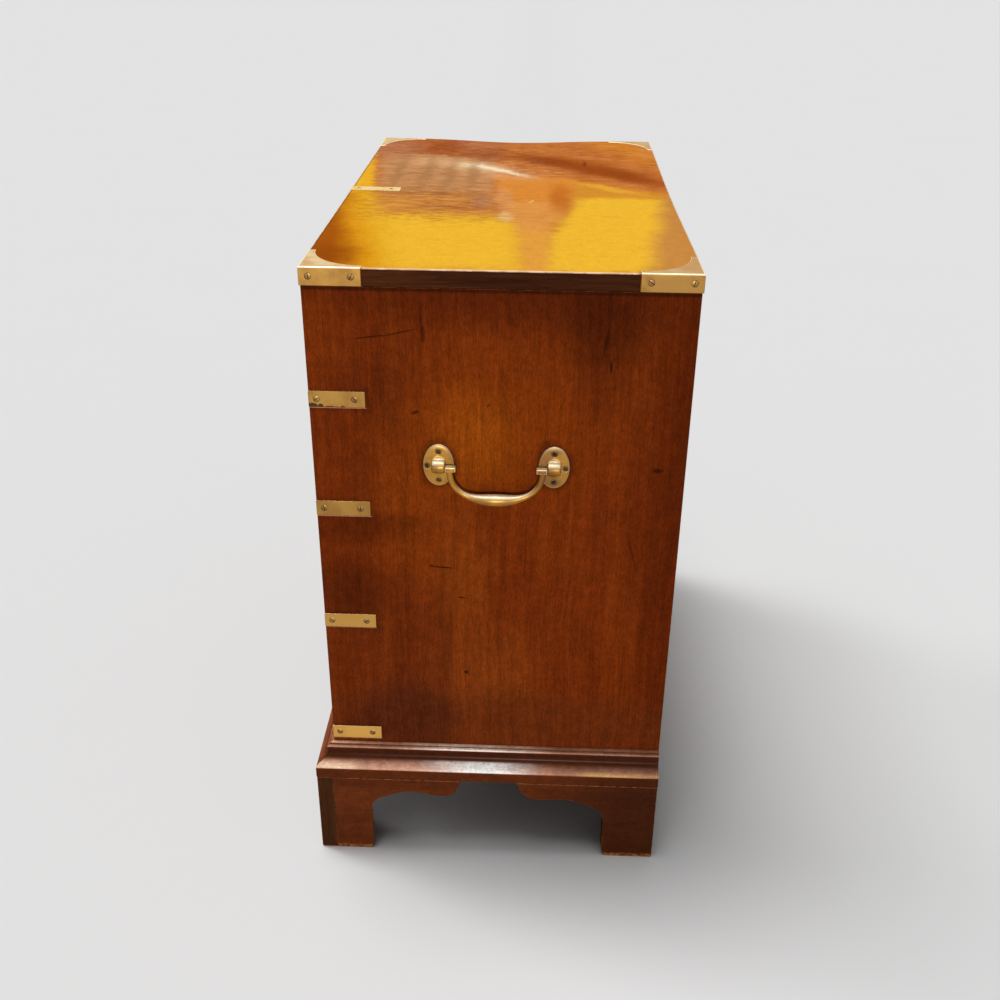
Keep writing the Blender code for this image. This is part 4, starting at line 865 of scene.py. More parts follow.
def fit_screws(piece, places, body, size=1.0, material=SCREW_BRASS, gap=SCREW_HOLE_GAP):
    """Sinks holes into a piece and sets screws in them. A place is a point and a normal."""
    holes = bmesh.new()
    heads = bmesh.new()
    for point, normal in places:
        facing = Vector(normal).to_track_quat("Z", "Y").to_matrix().to_4x4()
        seat = Matrix.Translation(point) @ facing
        radii = (SCREW_RADIUS * size, (SCREW_RADIUS + 2 * gap) * size)
        add_cone(holes, *radii, 2 * SCREW_HOLE_DEPTH, seat)
        spin = Matrix.Rotation(TURNS.uniform(0, math.pi), 4, "Z")
        scale = Matrix.Diagonal((size, size, 1, 1))
        copy = SCREW.copy()
        copy.transform(seat @ Matrix.Translation((0, 0, -SCREW_SINK)) @ spin @ scale)
        heads.from_mesh(copy)
        bpy.data.meshes.remove(copy)
    carve(piece, new_piece(f"{piece.name}_holes", holes, [SCREW_BRASS]))
    new_piece(piece.name.replace("fine_", "") + "_screws", heads, [material], body)


# Brass on the top and the case

# Places of the screws along each leg, from its corner
STRAP_SCREWS = (10 * MM, 59 * MM)
CORNER_SCREWS = (12 * MM, 64 * MM)
TOP_STRAP_SCREWS = (12 * MM, 62 * MM)
FRAME_SCREW = 1.14
TOP_STRAP_SCREW = 0.85
TOP_STRAP_HOLE_GAP = 0.1 * MM
TOP_ROUND_SEGMENTS = 4


def round_top(shape, signs):
    """Rounds the edges between the upper face and the outer faces, more than the rest."""
    arris_layer(shape)
    shape.normal_update()

    def upper(edge):
        normals = sorted((face.normal for face in edge.link_faces), key=lambda normal: normal.z)
        outward = max(normals[0].x * signs[0], normals[0].y * signs[1])
        return normals[-1].z > FACING_UP and outward > FACING_UP

    round_edges(shape, upper, TOP_ROUND, TOP_ROUND_SEGMENTS)


def soften_brass(node, signs=None, lit_top=LIT_TOP_BRASS):
    """A node with softened arrises. What faces up takes a painted highlight, and a corner's upper edges are
    rounder.
    """
    shape = node_shape(node)
    if signs:
        round_top(shape, signs)
    rounded(shape, BRASS_ARRIS)
    piece = new_piece(f"fine_{node}", shape, [BRASS, SCREW_BRASS, lit_top], "case", node)
    least = ROUND_FACING_UP if signs else FACING_UP
    # faces that face up take the painted highlight material
    for face in piece.data.polygons:
        if face.normal.z > least:
            face.material_index = 2
    return piece


def fit_angle_screws(angle, corner, faces, signs, places, up):
    """Screws along both legs of a brass angle, at places from its corner."""
    along = [((faces[0], corner[1] - signs[1] * place, up), (signs[0], 0, 0)) for place in places]
    across = [((corner[0] - signs[0] * place, faces[1], up), (0, signs[1], 0)) for place in places]
    fit_screws(angle, along + across, "case", FRAME_SCREW, STRAP_SCREW)
    even_normals(angle)


def make_strap(side, number):
    node = f"side_strap_{side}_{number}"
    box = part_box(node)
    sign = SIDES[side]
    faces = (box[sign > 0].x, box[0].y)
    corner = (sign * CASE_HALF_WIDTH, CASE_FRONT)
    fit_angle_screws(soften_brass(node), corner, faces, (sign, -1), STRAP_SCREWS, middle_of(node).z)


def make_corner(node):
    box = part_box(node)
    signs = (1 if box[1].x > 0 else -1, -1 if box[0].y < 0 else 1)
    corner = (box[signs[0] > 0].x, box[signs[1] > 0].y)
    plate = soften_brass(node, signs)
    fit_angle_screws(plate, corner, corner, signs, CORNER_SCREWS, middle_of(node).z)


def make_top_strap():
    low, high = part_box("top_front_strap")
    middle = (low + high) / 2
    strap = soften_brass("top_front_strap", lit_top=LIT_STRAP_BRASS)
    slope = (high.z - top_height(middle.x, high.y)) / (high.y - low.y)
    places = [((middle.x, low.y + back, high.z - slope * back), (0, 0, 1)) for back in TOP_STRAP_SCREWS]
    places.append(((middle.x, low.y, middle.z), (0, -1, 0)))
    fit_screws(strap, places, "case", TOP_STRAP_SCREW, LIT_STRAP_BRASS, TOP_STRAP_HOLE_GAP)
    even_normals(strap)


# Carcase boards

BOARD_THICKNESS = 22.5 * MM
BASE_RAIL_THICKNESS = 20 * MM
REBATE_OVERRUN = 4 * MM
BACK_ARRIS = 2.2 * MM


def make_board(node, material, body="case", half_width=None, arris=BOARD_ARRIS):
    """A plain board in a node's place, with rounded arrises."""
    low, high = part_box(node)
    if half_width:
        low.x, high.x = -half_width, half_width
    return new_piece(f"fine_{node}", slab_shape(low, high, arris), [material], body, node)


def make_side_panel(side):
    """A side panel with seats for its straps and a rebate for the back boards."""
    panel = make_board(f"side_panel_{side}", PANEL)
    board_low, board_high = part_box("back_board_lower")
    half = board_high.x + RECESS_GAP
    low = (-half, board_low.y - RECESS_GAP, PANEL_LOW.z - REBATE_OVERRUN)
    high = (half, CASE_BACK + REBATE_OVERRUN, PANEL_HIGH.z + REBATE_OVERRUN)
    rebate = new_piece(f"back_rebate_{side}", slab_shape(low, high))
    carve(panel, rebate, *[grown(f"side_strap_{side}_{number}") for number in range(1, 5)])
    even_normals(panel)


def make_bottom_board():
    """The bottom board, with the base rails glued under its front and back edges."""
    low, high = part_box("bottom_board")
    foot = high.z - BOARD_THICKNESS
    board = slab_shape((-INNER_HALF_WIDTH, low.y, foot), (INNER_HALF_WIDTH, high.y, high.z))
    even_normals(new_piece("fine_bottom_board", board, [CASE_X], "case", "bottom_board"))
    half = INNER_HALF_WIDTH - RECESS_GAP
    for end, y in (("front", low.y), ("back", high.y - BASE_RAIL_THICKNESS)):
        rail = slab_shape((-half, y, low.z), (half, y + BASE_RAIL_THICKNESS, foot))
        even_normals(new_piece(f"base_rail_{end}", rail, [CASE_X], "case"))


def make_carcase():
    for side in SIDES:
        make_side_panel(side)
    for level in ("lower", "middle", "upper"):
        even_normals(make_board(f"dust_board_{level}", CASE_X, half_width=INNER_HALF_WIDTH))
    make_bottom_board()
    even_normals(make_board("short_drawer_upright", CASE_Z))
    for level in ("lower", "upper"):
        even_normals(make_board(f"back_board_{level}", PINE_X, arris=BACK_ARRIS))


# Carrying handles

# Height in millimetres and share of the plate's size, from its back to its face
OVAL_RINGS = [
    (0.0, 1.0), (1.0, 1.0), (1.9, 0.985), (2.5, 0.955), (2.8, 0.915), (3.0, 0.82), (3.15, 0.5), (3.2, 0.2)
]
OVAL_POINTS = 56
OVAL_RIM = (1.0 * MM, 2.7 * MM)  # heights between which the plate's rim is rubbed
OVAL_RIM_SHINE = 0.25
OVAL_FACE = 2.95 * MM
OVAL_SCREW_RISE = 20.4 * MM
OVAL_SCREW_OUT = 15 * MM
OVAL_SCREW_SIZE = 1.06
KNUCKLE_WIDTH = 17.6 * MM
KNUCKLE_RADIUS = 9.2 * MM
KNUCKLE_OUT = 4.4 * MM
KNUCKLE_ROUND = 2.2 * MM
KNUCKLE_ROOT = 1.5 * MM
PIN_RADIUS = 2.8 * MM
PIN_STAND = 0.1 * MM
PIVOT_OUT = 10.2 * MM

BLOCK_LENGTH = 13.8 * MM
BLOCK_HEIGHT = 6.4 * MM
BLOCK_DEPTH = 8.6 * MM
BLOCK_ROUND = 0.9 * MM
BLOCK_LIFT = -0.8 * MM
BLOCK_GAP = 0.2 * MM
ARM_RADIUS = 4.35 * MM
ARM_THINNING = 0.7 * MM
GRIP_RADIUS = 8.2 * MM
BAIL_DROP = 45.5 * MM
ARM_INSET = 14.5 * MM
GRIP_SHARE = 0.78
# Powers of the bail's curve along and down, and of its section at the ends and along the arms
SIDE_POWER = 0.72
DROP_POWER = 0.86
END_SQUARENESS = 2.6
ARM_SQUARENESS = 2.2
ROUND = 2.0
BAIL_STEPS = 26
ROD_POINTS = 20


def arc(centre, radius, start, end, steps):
    angles = [math.radians(start + (end - start) * i / steps) for i in range(steps + 1)]
    return [(centre[0] + radius * math.cos(a), centre[1] + radius * math.sin(a)) for a in angles]


def circle(count):
    """The cosine and sine of each point round a circle."""
    turns = [2 * math.pi * i / count for i in range(count)]
    return [(math.cos(turn), math.sin(turn)) for turn in turns]


def make_oval_plate(side, end):
    """An oval plate with its knuckle, the pin's end and three screws."""
    node = f"carrying_plate_{side}_{end}"
    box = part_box(node)
    sign = SIDES[side]
    middle = middle_of(node)
    middle.x = box[sign < 0].x
    turned = Matrix.Identity(4) if sign > 0 else Matrix.Rotation(math.pi, 4, "Z")
    place = Matrix.Translation(middle) @ turned
    half = (box[1] - box[0]) / 2
    shape = loft_shape(
        [(rise * MM, half.y * share * c, half.z * share * s) for c, s in circle(OVAL_POINTS)]
        for rise, share in OVAL_RINGS
    )
    mark_arris(shape, lambda point: OVAL_RIM[0] < point.x < OVAL_RIM[1], OVAL_RIM_SHINE)
    shape.transform(place)
    plate = new_piece(f"fine_{node}", shape, [HANDLE_BRASS, SCREW_BRASS], "case", node)
    barrel = arc((KNUCKLE_OUT, 0), KNUCKLE_RADIUS, -90, 90, OVAL_POINTS // 2)
    outline = [(KNUCKLE_ROOT, -KNUCKLE_RADIUS), *barrel, (KNUCKLE_ROOT, KNUCKLE_RADIUS)]
    knuckle = prism_shape(outline, "y", -KNUCKLE_WIDTH / 2, KNUCKLE_WIDTH / 2)
    rounded(knuckle, KNUCKLE_ROUND)
    mark_arris(knuckle, lambda point: True, 0.0)
    knuckle.transform(place)
    pin = bmesh.new()
    along = Matrix.Translation((PIVOT_OUT, 0, 0)) @ Matrix.Rotation(math.pi / 2, 4, "X")
    add_cone(pin, PIN_RADIUS, PIN_RADIUS, KNUCKLE_WIDTH + 2 * PIN_STAND, place @ along, ROD_POINTS)
    merge(plate, new_piece("knuckle", knuckle, [HANDLE_BRASS]), new_piece("pin", pin, [SCREW_BRASS]))
    outward = -1 if end == "front" else 1
    spots = [(0, OVAL_SCREW_RISE), (0, -OVAL_SCREW_RISE), (outward * OVAL_SCREW_OUT, 0)]
    places = [(middle + Vector((sign * OVAL_FACE, *spot)), (sign, 0, 0)) for spot in spots]
    fit_screws(plate, places, "case", OVAL_SCREW_SIZE)


def bar_shape(path, sizes):
    """A bar along a path in the plane of y and z. Sizes give its radius and a power that squares it."""
    rings = []
    for i, ((y, z), (radius, power)) in enumerate(zip(path, sizes)):
        before = path[max(i - 1, 0)]
        after = path[min(i + 1, len(path) - 1)]
        ahead = Vector((after[0] - before[0], after[1] - before[1])).normalized()
        ring = []
        for cosine, sine in circle(ROD_POINTS):
            thick = radius * math.copysign(abs(cosine) ** (2 / power), cosine)
            wide = radius * math.copysign(abs(sine) ** (2 / power), sine)
            ring.append((thick, y - ahead.y * wide, z + ahead.x * wide))
        rings.append(ring)
    return loft_shape(rings)


def make_carrying_bail(side):
    """A bail with a swelled grip and a square block at each knuckle."""
    node = f"carrying_bail_{side}"
    front, rear = (middle_of(f"carrying_plate_{side}_{end}") for end in ("front", "rear"))
    span = rear.y - front.y
    middle = Vector((middle_of(node).x, (front.y + rear.y) / 2, front.z))
    arm = span / 2 - ARM_INSET
    half = [(-arm, -BLOCK_HEIGHT / 4)]
    sizes = [(ARM_RADIUS, END_SQUARENESS)]
    for i in range(1, BAIL_STEPS):
        turn = math.pi / 2 * i / BAIL_STEPS
        across = arm * math.cos(turn) ** SIDE_POWER
        down = BAIL_DROP * math.sin(turn) ** DROP_POWER
        if down < BLOCK_HEIGHT / 2:
            continue
        near_middle = max(0.0, 1 - across / (arm * GRIP_SHARE))
        swell = (GRIP_RADIUS - ARM_RADIUS) * math.sin(math.pi / 2 * near_middle) ** 2
        thin = ARM_THINNING * math.sin(2 * turn) ** 2
        half.append((-across, -down))
        sizes.append((ARM_RADIUS + swell - thin, ARM_SQUARENESS))
    path = [*half, (0.0, -BAIL_DROP), *((-y, z) for y, z in reversed(half))]
    sizes = [*sizes, (GRIP_RADIUS, ROUND), *reversed(sizes)]
    place = Matrix.Translation(middle)
    shape = bar_shape(path, sizes)
    shape.transform(place)
    bail = new_piece(f"fine_{node}", shape, [HANDLE_BRASS], node, node)
    blocks = []
    face = span / 2 - KNUCKLE_WIDTH / 2 - BLOCK_GAP
    for end in (-1, 1):
        near = (-BLOCK_DEPTH / 2, end * face, BLOCK_LIFT - BLOCK_HEIGHT / 2)
        far = (BLOCK_DEPTH / 2, end * (face - BLOCK_LENGTH), BLOCK_LIFT + BLOCK_HEIGHT / 2)
        block = slab_shape(near, far, BLOCK_ROUND)
        block.transform(place)
        blocks.append(new_piece("bail_block", block, [HANDLE_BRASS]))
    merge(bail, *blocks)


# Base frame

# The moulding's section as shares of its projection and of its height above the fascia
OGEE = [
    (1.0, 0.0), (0.97, 0.09), (0.88, 0.18), (0.73, 0.25), (0.57, 0.31),
    (0.44, 0.38), (0.36, 0.47), (0.32, 0.58), (0.31, 0.70), (0.31, 0.76),
]
BEAD = [(0.31, 0.76), (0.36, 0.80), (0.37, 0.85), (0.33, 0.89)]
CAP = [(0.20, 0.90), (0.24, 0.93), (0.21, 0.98), (0.14, 1.0)]
FASCIA_HEIGHT = 16.5 * MM
FASCIA_TOP = FOOT_HEIGHT + FASCIA_HEIGHT
FASCIA_CHAMFER = 1 * MM
LEDGE_HEIGHT = 20 * MM
LEDGE_WIDTH = 40 * MM
MOULDING_JOINT = 173 * MM  # the right side's moulding is in two lengths
MITRE_GAP = 0.15 * MM
CURVE_STEPS = 3
FASCIA_WEAR = 1.2 * MM
CAP_WEAR = 2.2 * MM


def smooth_curve(points, steps=CURVE_STEPS):
    """More points on a smooth curve through the given ones."""
    points = [Vector(point) for point in points]
    made = []
    for a, b, c, d in zip(points[:1] + points, points, points[1:], points[2:] + points[-1:]):
        for step in range(steps):
            t = step / steps
            bend = (2 * a - 5 * b + 4 * c - d) * t**2 + (3 * b - a - 3 * c + d) * t**3
            made.append((2 * b + (c - a) * t + bend) / 2)
    return [*made, points[-1]]


def moulding_section(projection):
    """The moulding's section as places out from the case and up."""
    rise = FRAME_HIGH.z - FASCIA_TOP
    wave = smooth_curve(OGEE) + smooth_curve(BEAD)[1:] + smooth_curve(CAP)
    return [
        (projection - FASCIA_CHAMFER, FOOT_HEIGHT),
        (projection, FOOT_HEIGHT + FASCIA_CHAMFER),
        *[(projection * across, FASCIA_TOP + rise * up) for across, up in wave],
        (RECESS_GAP, FRAME_HIGH.z),
        (RECESS_GAP, FOOT_HEIGHT + LEDGE_HEIGHT),
        (-LEDGE_WIDTH, FOOT_HEIGHT + LEDGE_HEIGHT),
        (-LEDGE_WIDTH, FOOT_HEIGHT),
    ]


def make_moulding(name, sections, material, stands_for=None):
    shape = loft_shape(sections)
    top = FRAME_HIGH.z - CAP_WEAR
    mark_arris(shape, lambda point: abs(point.z - FASCIA_TOP) < FASCIA_WEAR or point.z > top)
    return new_piece(name, shape, [material], "case", stands_for)


def make_base_frame():
    side = moulding_section(FRAME_HIGH.x - CASE_HALF_WIDTH)
    front = moulding_section(CASE_FRONT - FRAME_LOW.y)
    # Points of the mitre at the right corner, which the left one mirrors
    mitre = [(CASE_HALF_WIDTH + out, CASE_FRONT - forward, z) for (out, z), (forward, _) in zip(side, front)]
    for word, sign in SIDES.items():
        section = [(sign * x, y + MITRE_GAP, z) for x, y, z in mitre]
        for number, end in enumerate([CASE_BACK] if sign < 0 else [MOULDING_JOINT, CASE_BACK]):
            last = [(sign * (CASE_HALF_WIDTH + out), end, z) for out, z in side]
            name = f"base_moulding_{word}" + ("_rear" if number else "")
            stands_for = "base_frame" if name == "base_moulding_right" else None
            make_moulding(name, [section, last], BASE_Y, stands_for)
            section = [(x, y + 2 * MITRE_GAP, z) for x, y, z in last]
    sections = [[(sign * (x - MITRE_GAP), y, z) for x, y, z in mitre] for sign in SIDES.values()]
    make_moulding("base_moulding_front", sections, BASE_X)
    half = CASE_HALF_WIDTH - LEDGE_WIDTH - RECESS_GAP
    low = (-half, CASE_BACK - LEDGE_WIDTH, FOOT_HEIGHT)
    rail = slab_shape(low, (half, CASE_BACK, FOOT_HEIGHT + LEDGE_HEIGHT))
    even_normals(new_piece("base_back_rail", rail, [PINE_X], "case"))


# Feet

FOOT_WIDTH = 78.5 * MM
HOLLOW_TURN = 80
TIP_TURN = 75
SCROLLS = {
    # hollow's radius and height share, shares along and up of the arch and of the drop, share along
    # where the tip starts, tip's radius, width and height of the foot's worn inner corner
    "front": (24 * MM, 0.612, (0.655, 0.830), (0.860, 0.787), 0.885, 20 * MM, (9 * MM, 14 * MM)),
    "rear": (30 * MM, 0.500, (0.664, 0.794), (0.800, 0.778), 0.845, 30 * MM, (10 * MM, 16 * MM)),
}
FOOT_STEPS = 9
FOOT_CHAMFER = 3 * MM
END_GRAIN_WIDTH = 24.5 * MM
BRACKET_THICKNESS = 20 * MM
FOOT_SPLAY = 3 * MM  # how much wider a front foot is at its outer face than at its inner one
FRONT_BRACKET = 217.5 * MM
REAR_BRACKET = 212.5 * MM
BACK_BRACKET = 120 * MM
GLUE_BLOCK = 34 * MM
GLUE_BLOCK_LIFT = 15 * MM


def bracket_outline(end, length, top, start=0.0, splay=0.0):
    """Side view of a shaped bracket as distance from the corner and height, from a start along it."""
    radius, shoulder_share, arch_shares, drop_shares, tip_share, tip_radius, worn = SCROLLS[end]
    width = FOOT_WIDTH + splay
    centre = (width + radius + splay, top * shoulder_share - 2 * splay)
    hollow = arc(centre, radius + splay, 180, 180 - HOLLOW_TURN, 2 * FOOT_STEPS)
    first, first_height = hollow[-1]
    arch, arch_height = length * arch_shares[0], top * arch_shares[1]
    drop, drop_height = length * drop_shares[0], top * drop_shares[1]
    corner, arch_curve, drop_curve = [], [], []
    for i in range(1, FOOT_STEPS + 1):
        along = i / FOOT_STEPS
        turn = math.pi / 2 * along
        corner.append((width - worn[0] * (1 - math.sin(turn)), worn[1] * (1 - math.cos(turn))))
        arch_rise = first_height + (arch_height - first_height) * math.sin(turn)
        drop_rise = arch_height + (drop_height - arch_height) * math.sin(turn) ** 2
        arch_curve.append((first + (arch - first) * along, arch_rise))
        drop_curve.append((arch + (drop - arch) * along, drop_rise))
    tip = arc((length * tip_share, drop_height + tip_radius), tip_radius, -90, -90 + TIP_TURN, FOOT_STEPS)
    foot = [(start, FOOT_CHAMFER / 2), (start + FOOT_CHAMFER / 2, 0), (width - worn[0], 0)]
    return [*foot, *corner, *hollow, *arch_curve, *drop_curve, *tip, (length, top), (start, top)]


def make_bracket(name, outline, axis, low, high, materials, stands_for=None, far_outline=None):
    shape = rounded(prism_shape(outline, axis, low, high, far_outline), FOOT_ARRIS, segments=2)
    return even_normals(new_piece(name, shape, materials, "case", stands_for))


def make_foot(end, side):
    """A foot: a bracket along the side, a bracket across and a glue block behind them."""
    node = f"foot_{end}_{side}"
    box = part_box(node)
    sign = SIDES[side]
    forward = -1 if end == "front" else 1
    outer_x = box[sign > 0].x
    outer_y = box[forward > 0].y
    top = box[1].z
    inner_x = outer_x - sign * BRACKET_THICKNESS
    inner_y = outer_y - forward * BRACKET_THICKNESS
    if end == "front":
        start = END_GRAIN_WIDTH + MITRE_GAP
        inside = bracket_outline("front", FRONT_BRACKET, top, start)
        outside = bracket_outline("front", FRONT_BRACKET, top, start, FOOT_SPLAY)
        across = bracket_outline("front", FRONT_BRACKET, top)
        across_start = outer_x
        back_y = outer_y + END_GRAIN_WIDTH
    else:
        inside = outside = bracket_outline("rear", REAR_BRACKET, top)
        length = BACK_BRACKET - BRACKET_THICKNESS
        across = [(0, 0), (FOOT_WIDTH, 0), (FOOT_WIDTH, top / 2), (length, top), (0, top)]
        across_start = inner_x - sign * MITRE_GAP
        back_y = inner_y
    inside = [(outer_y - forward * along, up) for along, up in inside]
    outside = [(outer_y - forward * along, up) for along, up in outside]
    make_bracket(f"fine_{node}", inside, "x", inner_x, outer_x, [BASE_Y], node, outside)
    across = [(across_start - sign * along, up) for along, up in across]
    span = sorted((outer_y, back_y))
    cross = make_bracket(f"{node}_cross_bracket", across, "y", *span, [BASE_X, BASE_END])
    for face in cross.data.polygons:
        if face.normal.x * sign > FACING_OUT and abs(face.center.x - outer_x) < FOOT_ARRIS:
            face.material_index = 1
    near = (inner_x, inner_y, GLUE_BLOCK_LIFT)
    block = slab_shape(near, (inner_x - sign * GLUE_BLOCK, inner_y - forward * GLUE_BLOCK, top))
    even_normals(new_piece(f"{node}_glue_block", block, [PINE_Z], "case"))


# Drawers

KEYHOLE_RADIUS = 2.7 * MM
KEYHOLE_SLOT = 2.4 * MM
KEYHOLE_LENGTH = 9 * MM
KEYHOLE_BELOW_EDGE = 22.5 * MM
KEYHOLE_DEPTH = 9 * MM
KEYHOLE_STEPS = 20
CUTTER_OVERRUN = 1 * MM
ESCUTCHEON_RIM = 1.5 * MM
ESCUTCHEON_DEPTH = 3 * MM
ESCUTCHEON_PROUD = 0.2 * MM
PLATE_SIZE = (92 * MM, 52 * MM)
PLATE_CORNER = 5 * MM
PAN_SIZE = (64 * MM, 36 * MM)
PAN_CORNER = 7 * MM
PAN_DEPTH = 11 * MM
PAN_WALL = 1.2 * MM
PAN_ROUND = 4 * MM
# Steps of the pan's lip and of the plate's edge: growth in size and depth below the face, in millimetres
PAN_LIP = [(0.0, 0.8), (0.9, 0.1), (1.6, 0.0)]
PLATE_EDGE = [(-1.0, 0.0), (-0.3, 0.15), (0.0, 0.5)]
PLATE_RUB = (0.02 * MM, 0.4 * MM)  # depths below the face between which the plate's edge is rubbed
PLATE_RUB_WIDTH = 1 * MM
BRASS_THICKNESS = 1.7 * MM
BRASS_PROUD = 0.4 * MM
PIVOT_RISE = 10 * MM
PIVOT_DEPTH = 3.2 * MM
PLATE_SCREWS = (39 * MM, 19 * MM)
PLATE_SCREW_SIZE = 0.72
DRAWER_HALF_SPAN = 25 * MM
DRAWER_BAIL_DROP = 21 * MM
DRAWER_BAIL_CORNER = 10 * MM
DRAWER_BAIL_GAP = 2 * MM
DRAWER_ROD = 2.5 * MM
DRAWER_GRIP = 3.2 * MM
DRAWER_GRIP_SHARE = 0.6
LUG_RADIUS = 3.4 * MM
LUG_INSET = 1.2 * MM
LUG_FLATNESS = 0.34
SIDE_THICKNESS = 11 * MM
FLOOR_THICKNESS = 7 * MM
FLOOR_RISE = 8 * MM
FLOOR_ARRIS = 0.5 * MM
BACK_DROP = 3 * MM  # the drawer's back ends this much below its sides
RUNNER_WIDTH = 14 * MM
TAIL_PITCH = 32 * MM
TAIL_LENGTH = 13 * MM
TAIL_DEPTH = 5 * MM
TAIL_PROUD = 0.1 * MM
TAIL_SHARE = 0.34
TAIL_SPLAY = 1.22
LOCK_SIZE = (62 * MM, 44 * MM)
LOCK_PROUD = 0.25 * MM
# The lock's plate and its strip: reach into the drawer front, lowest and highest place from its top, arris
LOCK_PARTS = [
    (1.6 * MM, -44 * MM, -0.2 * MM, 0.1 * MM),
    (9 * MM, -1.2 * MM, 0.2 * MM, 0.15 * MM),
]


def keyhole_outline(x, z, rim=0.0):
    """A round hole over a straight slot, grown by a rim."""
    radius = KEYHOLE_RADIUS + rim
    half = KEYHOLE_SLOT / 2 + rim
    opening = math.degrees(math.asin(half / radius))
    round_part = arc((x, z), radius, -90 + opening, 270 - opening, KEYHOLE_STEPS)
    foot = z - KEYHOLE_LENGTH - rim
    return [*round_part, (x - half, foot), (x + half, foot)]


def rounded_rectangle(middle, size, corner, growth=0.0, steps=6):
    """A rectangle with round corners in the plane of x and z."""
    half_width, half_height = ((length + growth) / 2 - corner for length in size)
    points = []
    for turn, (x, z) in enumerate(((1, 1), (-1, 1), (-1, -1), (1, -1))):
        centre = (middle.x + x * half_width, middle.z + z * half_height)
        points += arc(centre, corner, 90 * turn, 90 * turn + 90, steps)
    return points


def make_escutcheon(name, x, z):
    """The brass rim of a keyhole, let into the drawer front."""
    face = CASE_FRONT - ESCUTCHEON_PROUD
    back = CASE_FRONT + ESCUTCHEON_DEPTH
    outer, inner = keyhole_outline(x, z, ESCUTCHEON_RIM), keyhole_outline(x, z)
    levels = ((outer, back), (outer, face), (inner, face), (inner, back), (outer, back))
    shape = loft_shape([[(px, y, pz) for px, pz in outline] for outline, y in levels], closed_ends=False)
    bmesh.ops.remove_doubles(shape, verts=shape.verts, dist=WELD)
    new_piece(f"{name}_escutcheon", shape, [BRASS], name)


def make_handle_plate(node, body):
    """A flanged pan let into the drawer front, with a screw in each corner of its flange."""
    middle = middle_of(node)
    face = CASE_FRONT - BRASS_PROUD
    behind = BRASS_THICKNESS - BRASS_PROUD
    levels = [
        (PAN_SIZE, PAN_CORNER - PAN_ROUND, -2 * PAN_ROUND, PAN_DEPTH),
        (PAN_SIZE, PAN_CORNER - PAN_ROUND / 2, -PAN_ROUND / 2, PAN_DEPTH - PAN_ROUND / 2),
        (PAN_SIZE, PAN_CORNER, 0, PAN_DEPTH - PAN_ROUND),
        *[(PAN_SIZE, PAN_CORNER, growth * MM, depth * MM - BRASS_PROUD) for growth, depth in PAN_LIP],
        *[(PLATE_SIZE, PLATE_CORNER, growth * MM, depth * MM - BRASS_PROUD) for growth, depth in PLATE_EDGE],
        (PLATE_SIZE, PLATE_CORNER, 0, behind),
        (PAN_SIZE, PAN_CORNER, 2 * PAN_WALL, behind),
        (PAN_SIZE, PAN_CORNER, 2 * PAN_WALL, PAN_DEPTH + PAN_WALL),
    ]
    rings = []
    for size, corner, growth, depth in levels:
        outline = rounded_rectangle(middle, size, corner, growth)
        rings.append([(x, CASE_FRONT + depth, z) for x, z in outline])
    shape = loft_shape(rings)
    rub = Vector((PLATE_SIZE[0] / 2 - PLATE_RUB_WIDTH, 0, PLATE_SIZE[1] / 2 - PLATE_RUB_WIDTH))

    def rubbed(point):
        away = point - middle
        level = PLATE_RUB[0] < point.y - face < PLATE_RUB[1]
        return level and (abs(away.x) > rub.x or abs(away.z) > rub.z)

    mark_arris(shape, rubbed)
    plate = new_piece(f"fine_{node}", shape, [BRASS, SCREW_BRASS], body, node)
    across, up = PLATE_SCREWS
    spots = [(middle.x + x * across, face, middle.z + z * up) for x in (-1, 1) for z in (-1, 1)]
    fit_screws(plate, [(spot, (0, -1, 0)) for spot in spots], body, PLATE_SCREW_SIZE)


def make_drawer_bail(node, plate_node):
    """A bent rod with a swelled grip and a flat lug at each end."""
    pivot = middle_of(plate_node)
    pivot = Vector((pivot.x, CASE_FRONT + PIVOT_DEPTH, pivot.z + PIVOT_RISE))
    end = PAN_SIZE[0] / 2
    bend = end - DRAWER_HALF_SPAN - DRAWER_BAIL_GAP
    shoulder = arc((-DRAWER_HALF_SPAN - bend, -bend), bend, 90, 0, 8)
    corner = (-DRAWER_HALF_SPAN + DRAWER_BAIL_CORNER, -DRAWER_BAIL_DROP + DRAWER_BAIL_CORNER)
    turn = arc(corner, DRAWER_BAIL_CORNER, 180, 270, 12)
    grip = (-DRAWER_GRIP_SHARE * (DRAWER_HALF_SPAN - DRAWER_BAIL_CORNER), -DRAWER_BAIL_DROP)
    half = [(-end, 0.0), *shoulder, *turn, grip]
    path = [*half, (0.0, -DRAWER_BAIL_DROP), *((-across, up) for across, up in reversed(half))]
    swell = DRAWER_GRIP - DRAWER_ROD
    arm = [(DRAWER_ROD, ROUND)] * (len(half) - 1) + [(DRAWER_ROD + swell * DRAWER_GRIP_SHARE, ROUND)]
    shape = bar_shape(path, [*arm, (DRAWER_GRIP, ROUND), *reversed(arm)])
    shape.transform(Matrix.Translation(pivot) @ Matrix.Rotation(-math.pi / 2, 4, "Z"))
    lugs = []
    for side in (-1, 1):
        lug = bmesh.new()
        seat = Matrix.Translation(pivot + Vector((side * (end - LUG_INSET), 0, 0)))
        flat = Matrix.Diagonal((LUG_FLATNESS, 1, 1, 1))
        bmesh.ops.create_uvsphere(lug, u_segments=16, v_segments=10, radius=LUG_RADIUS, matrix=seat @ flat)
        lugs.append(new_piece("bail_lug", lug, [BRASS]))
    bail = new_piece(f"fine_{node}", shape, [BRASS, SCREW_BRASS], node, node)
    merge(bail, *lugs)


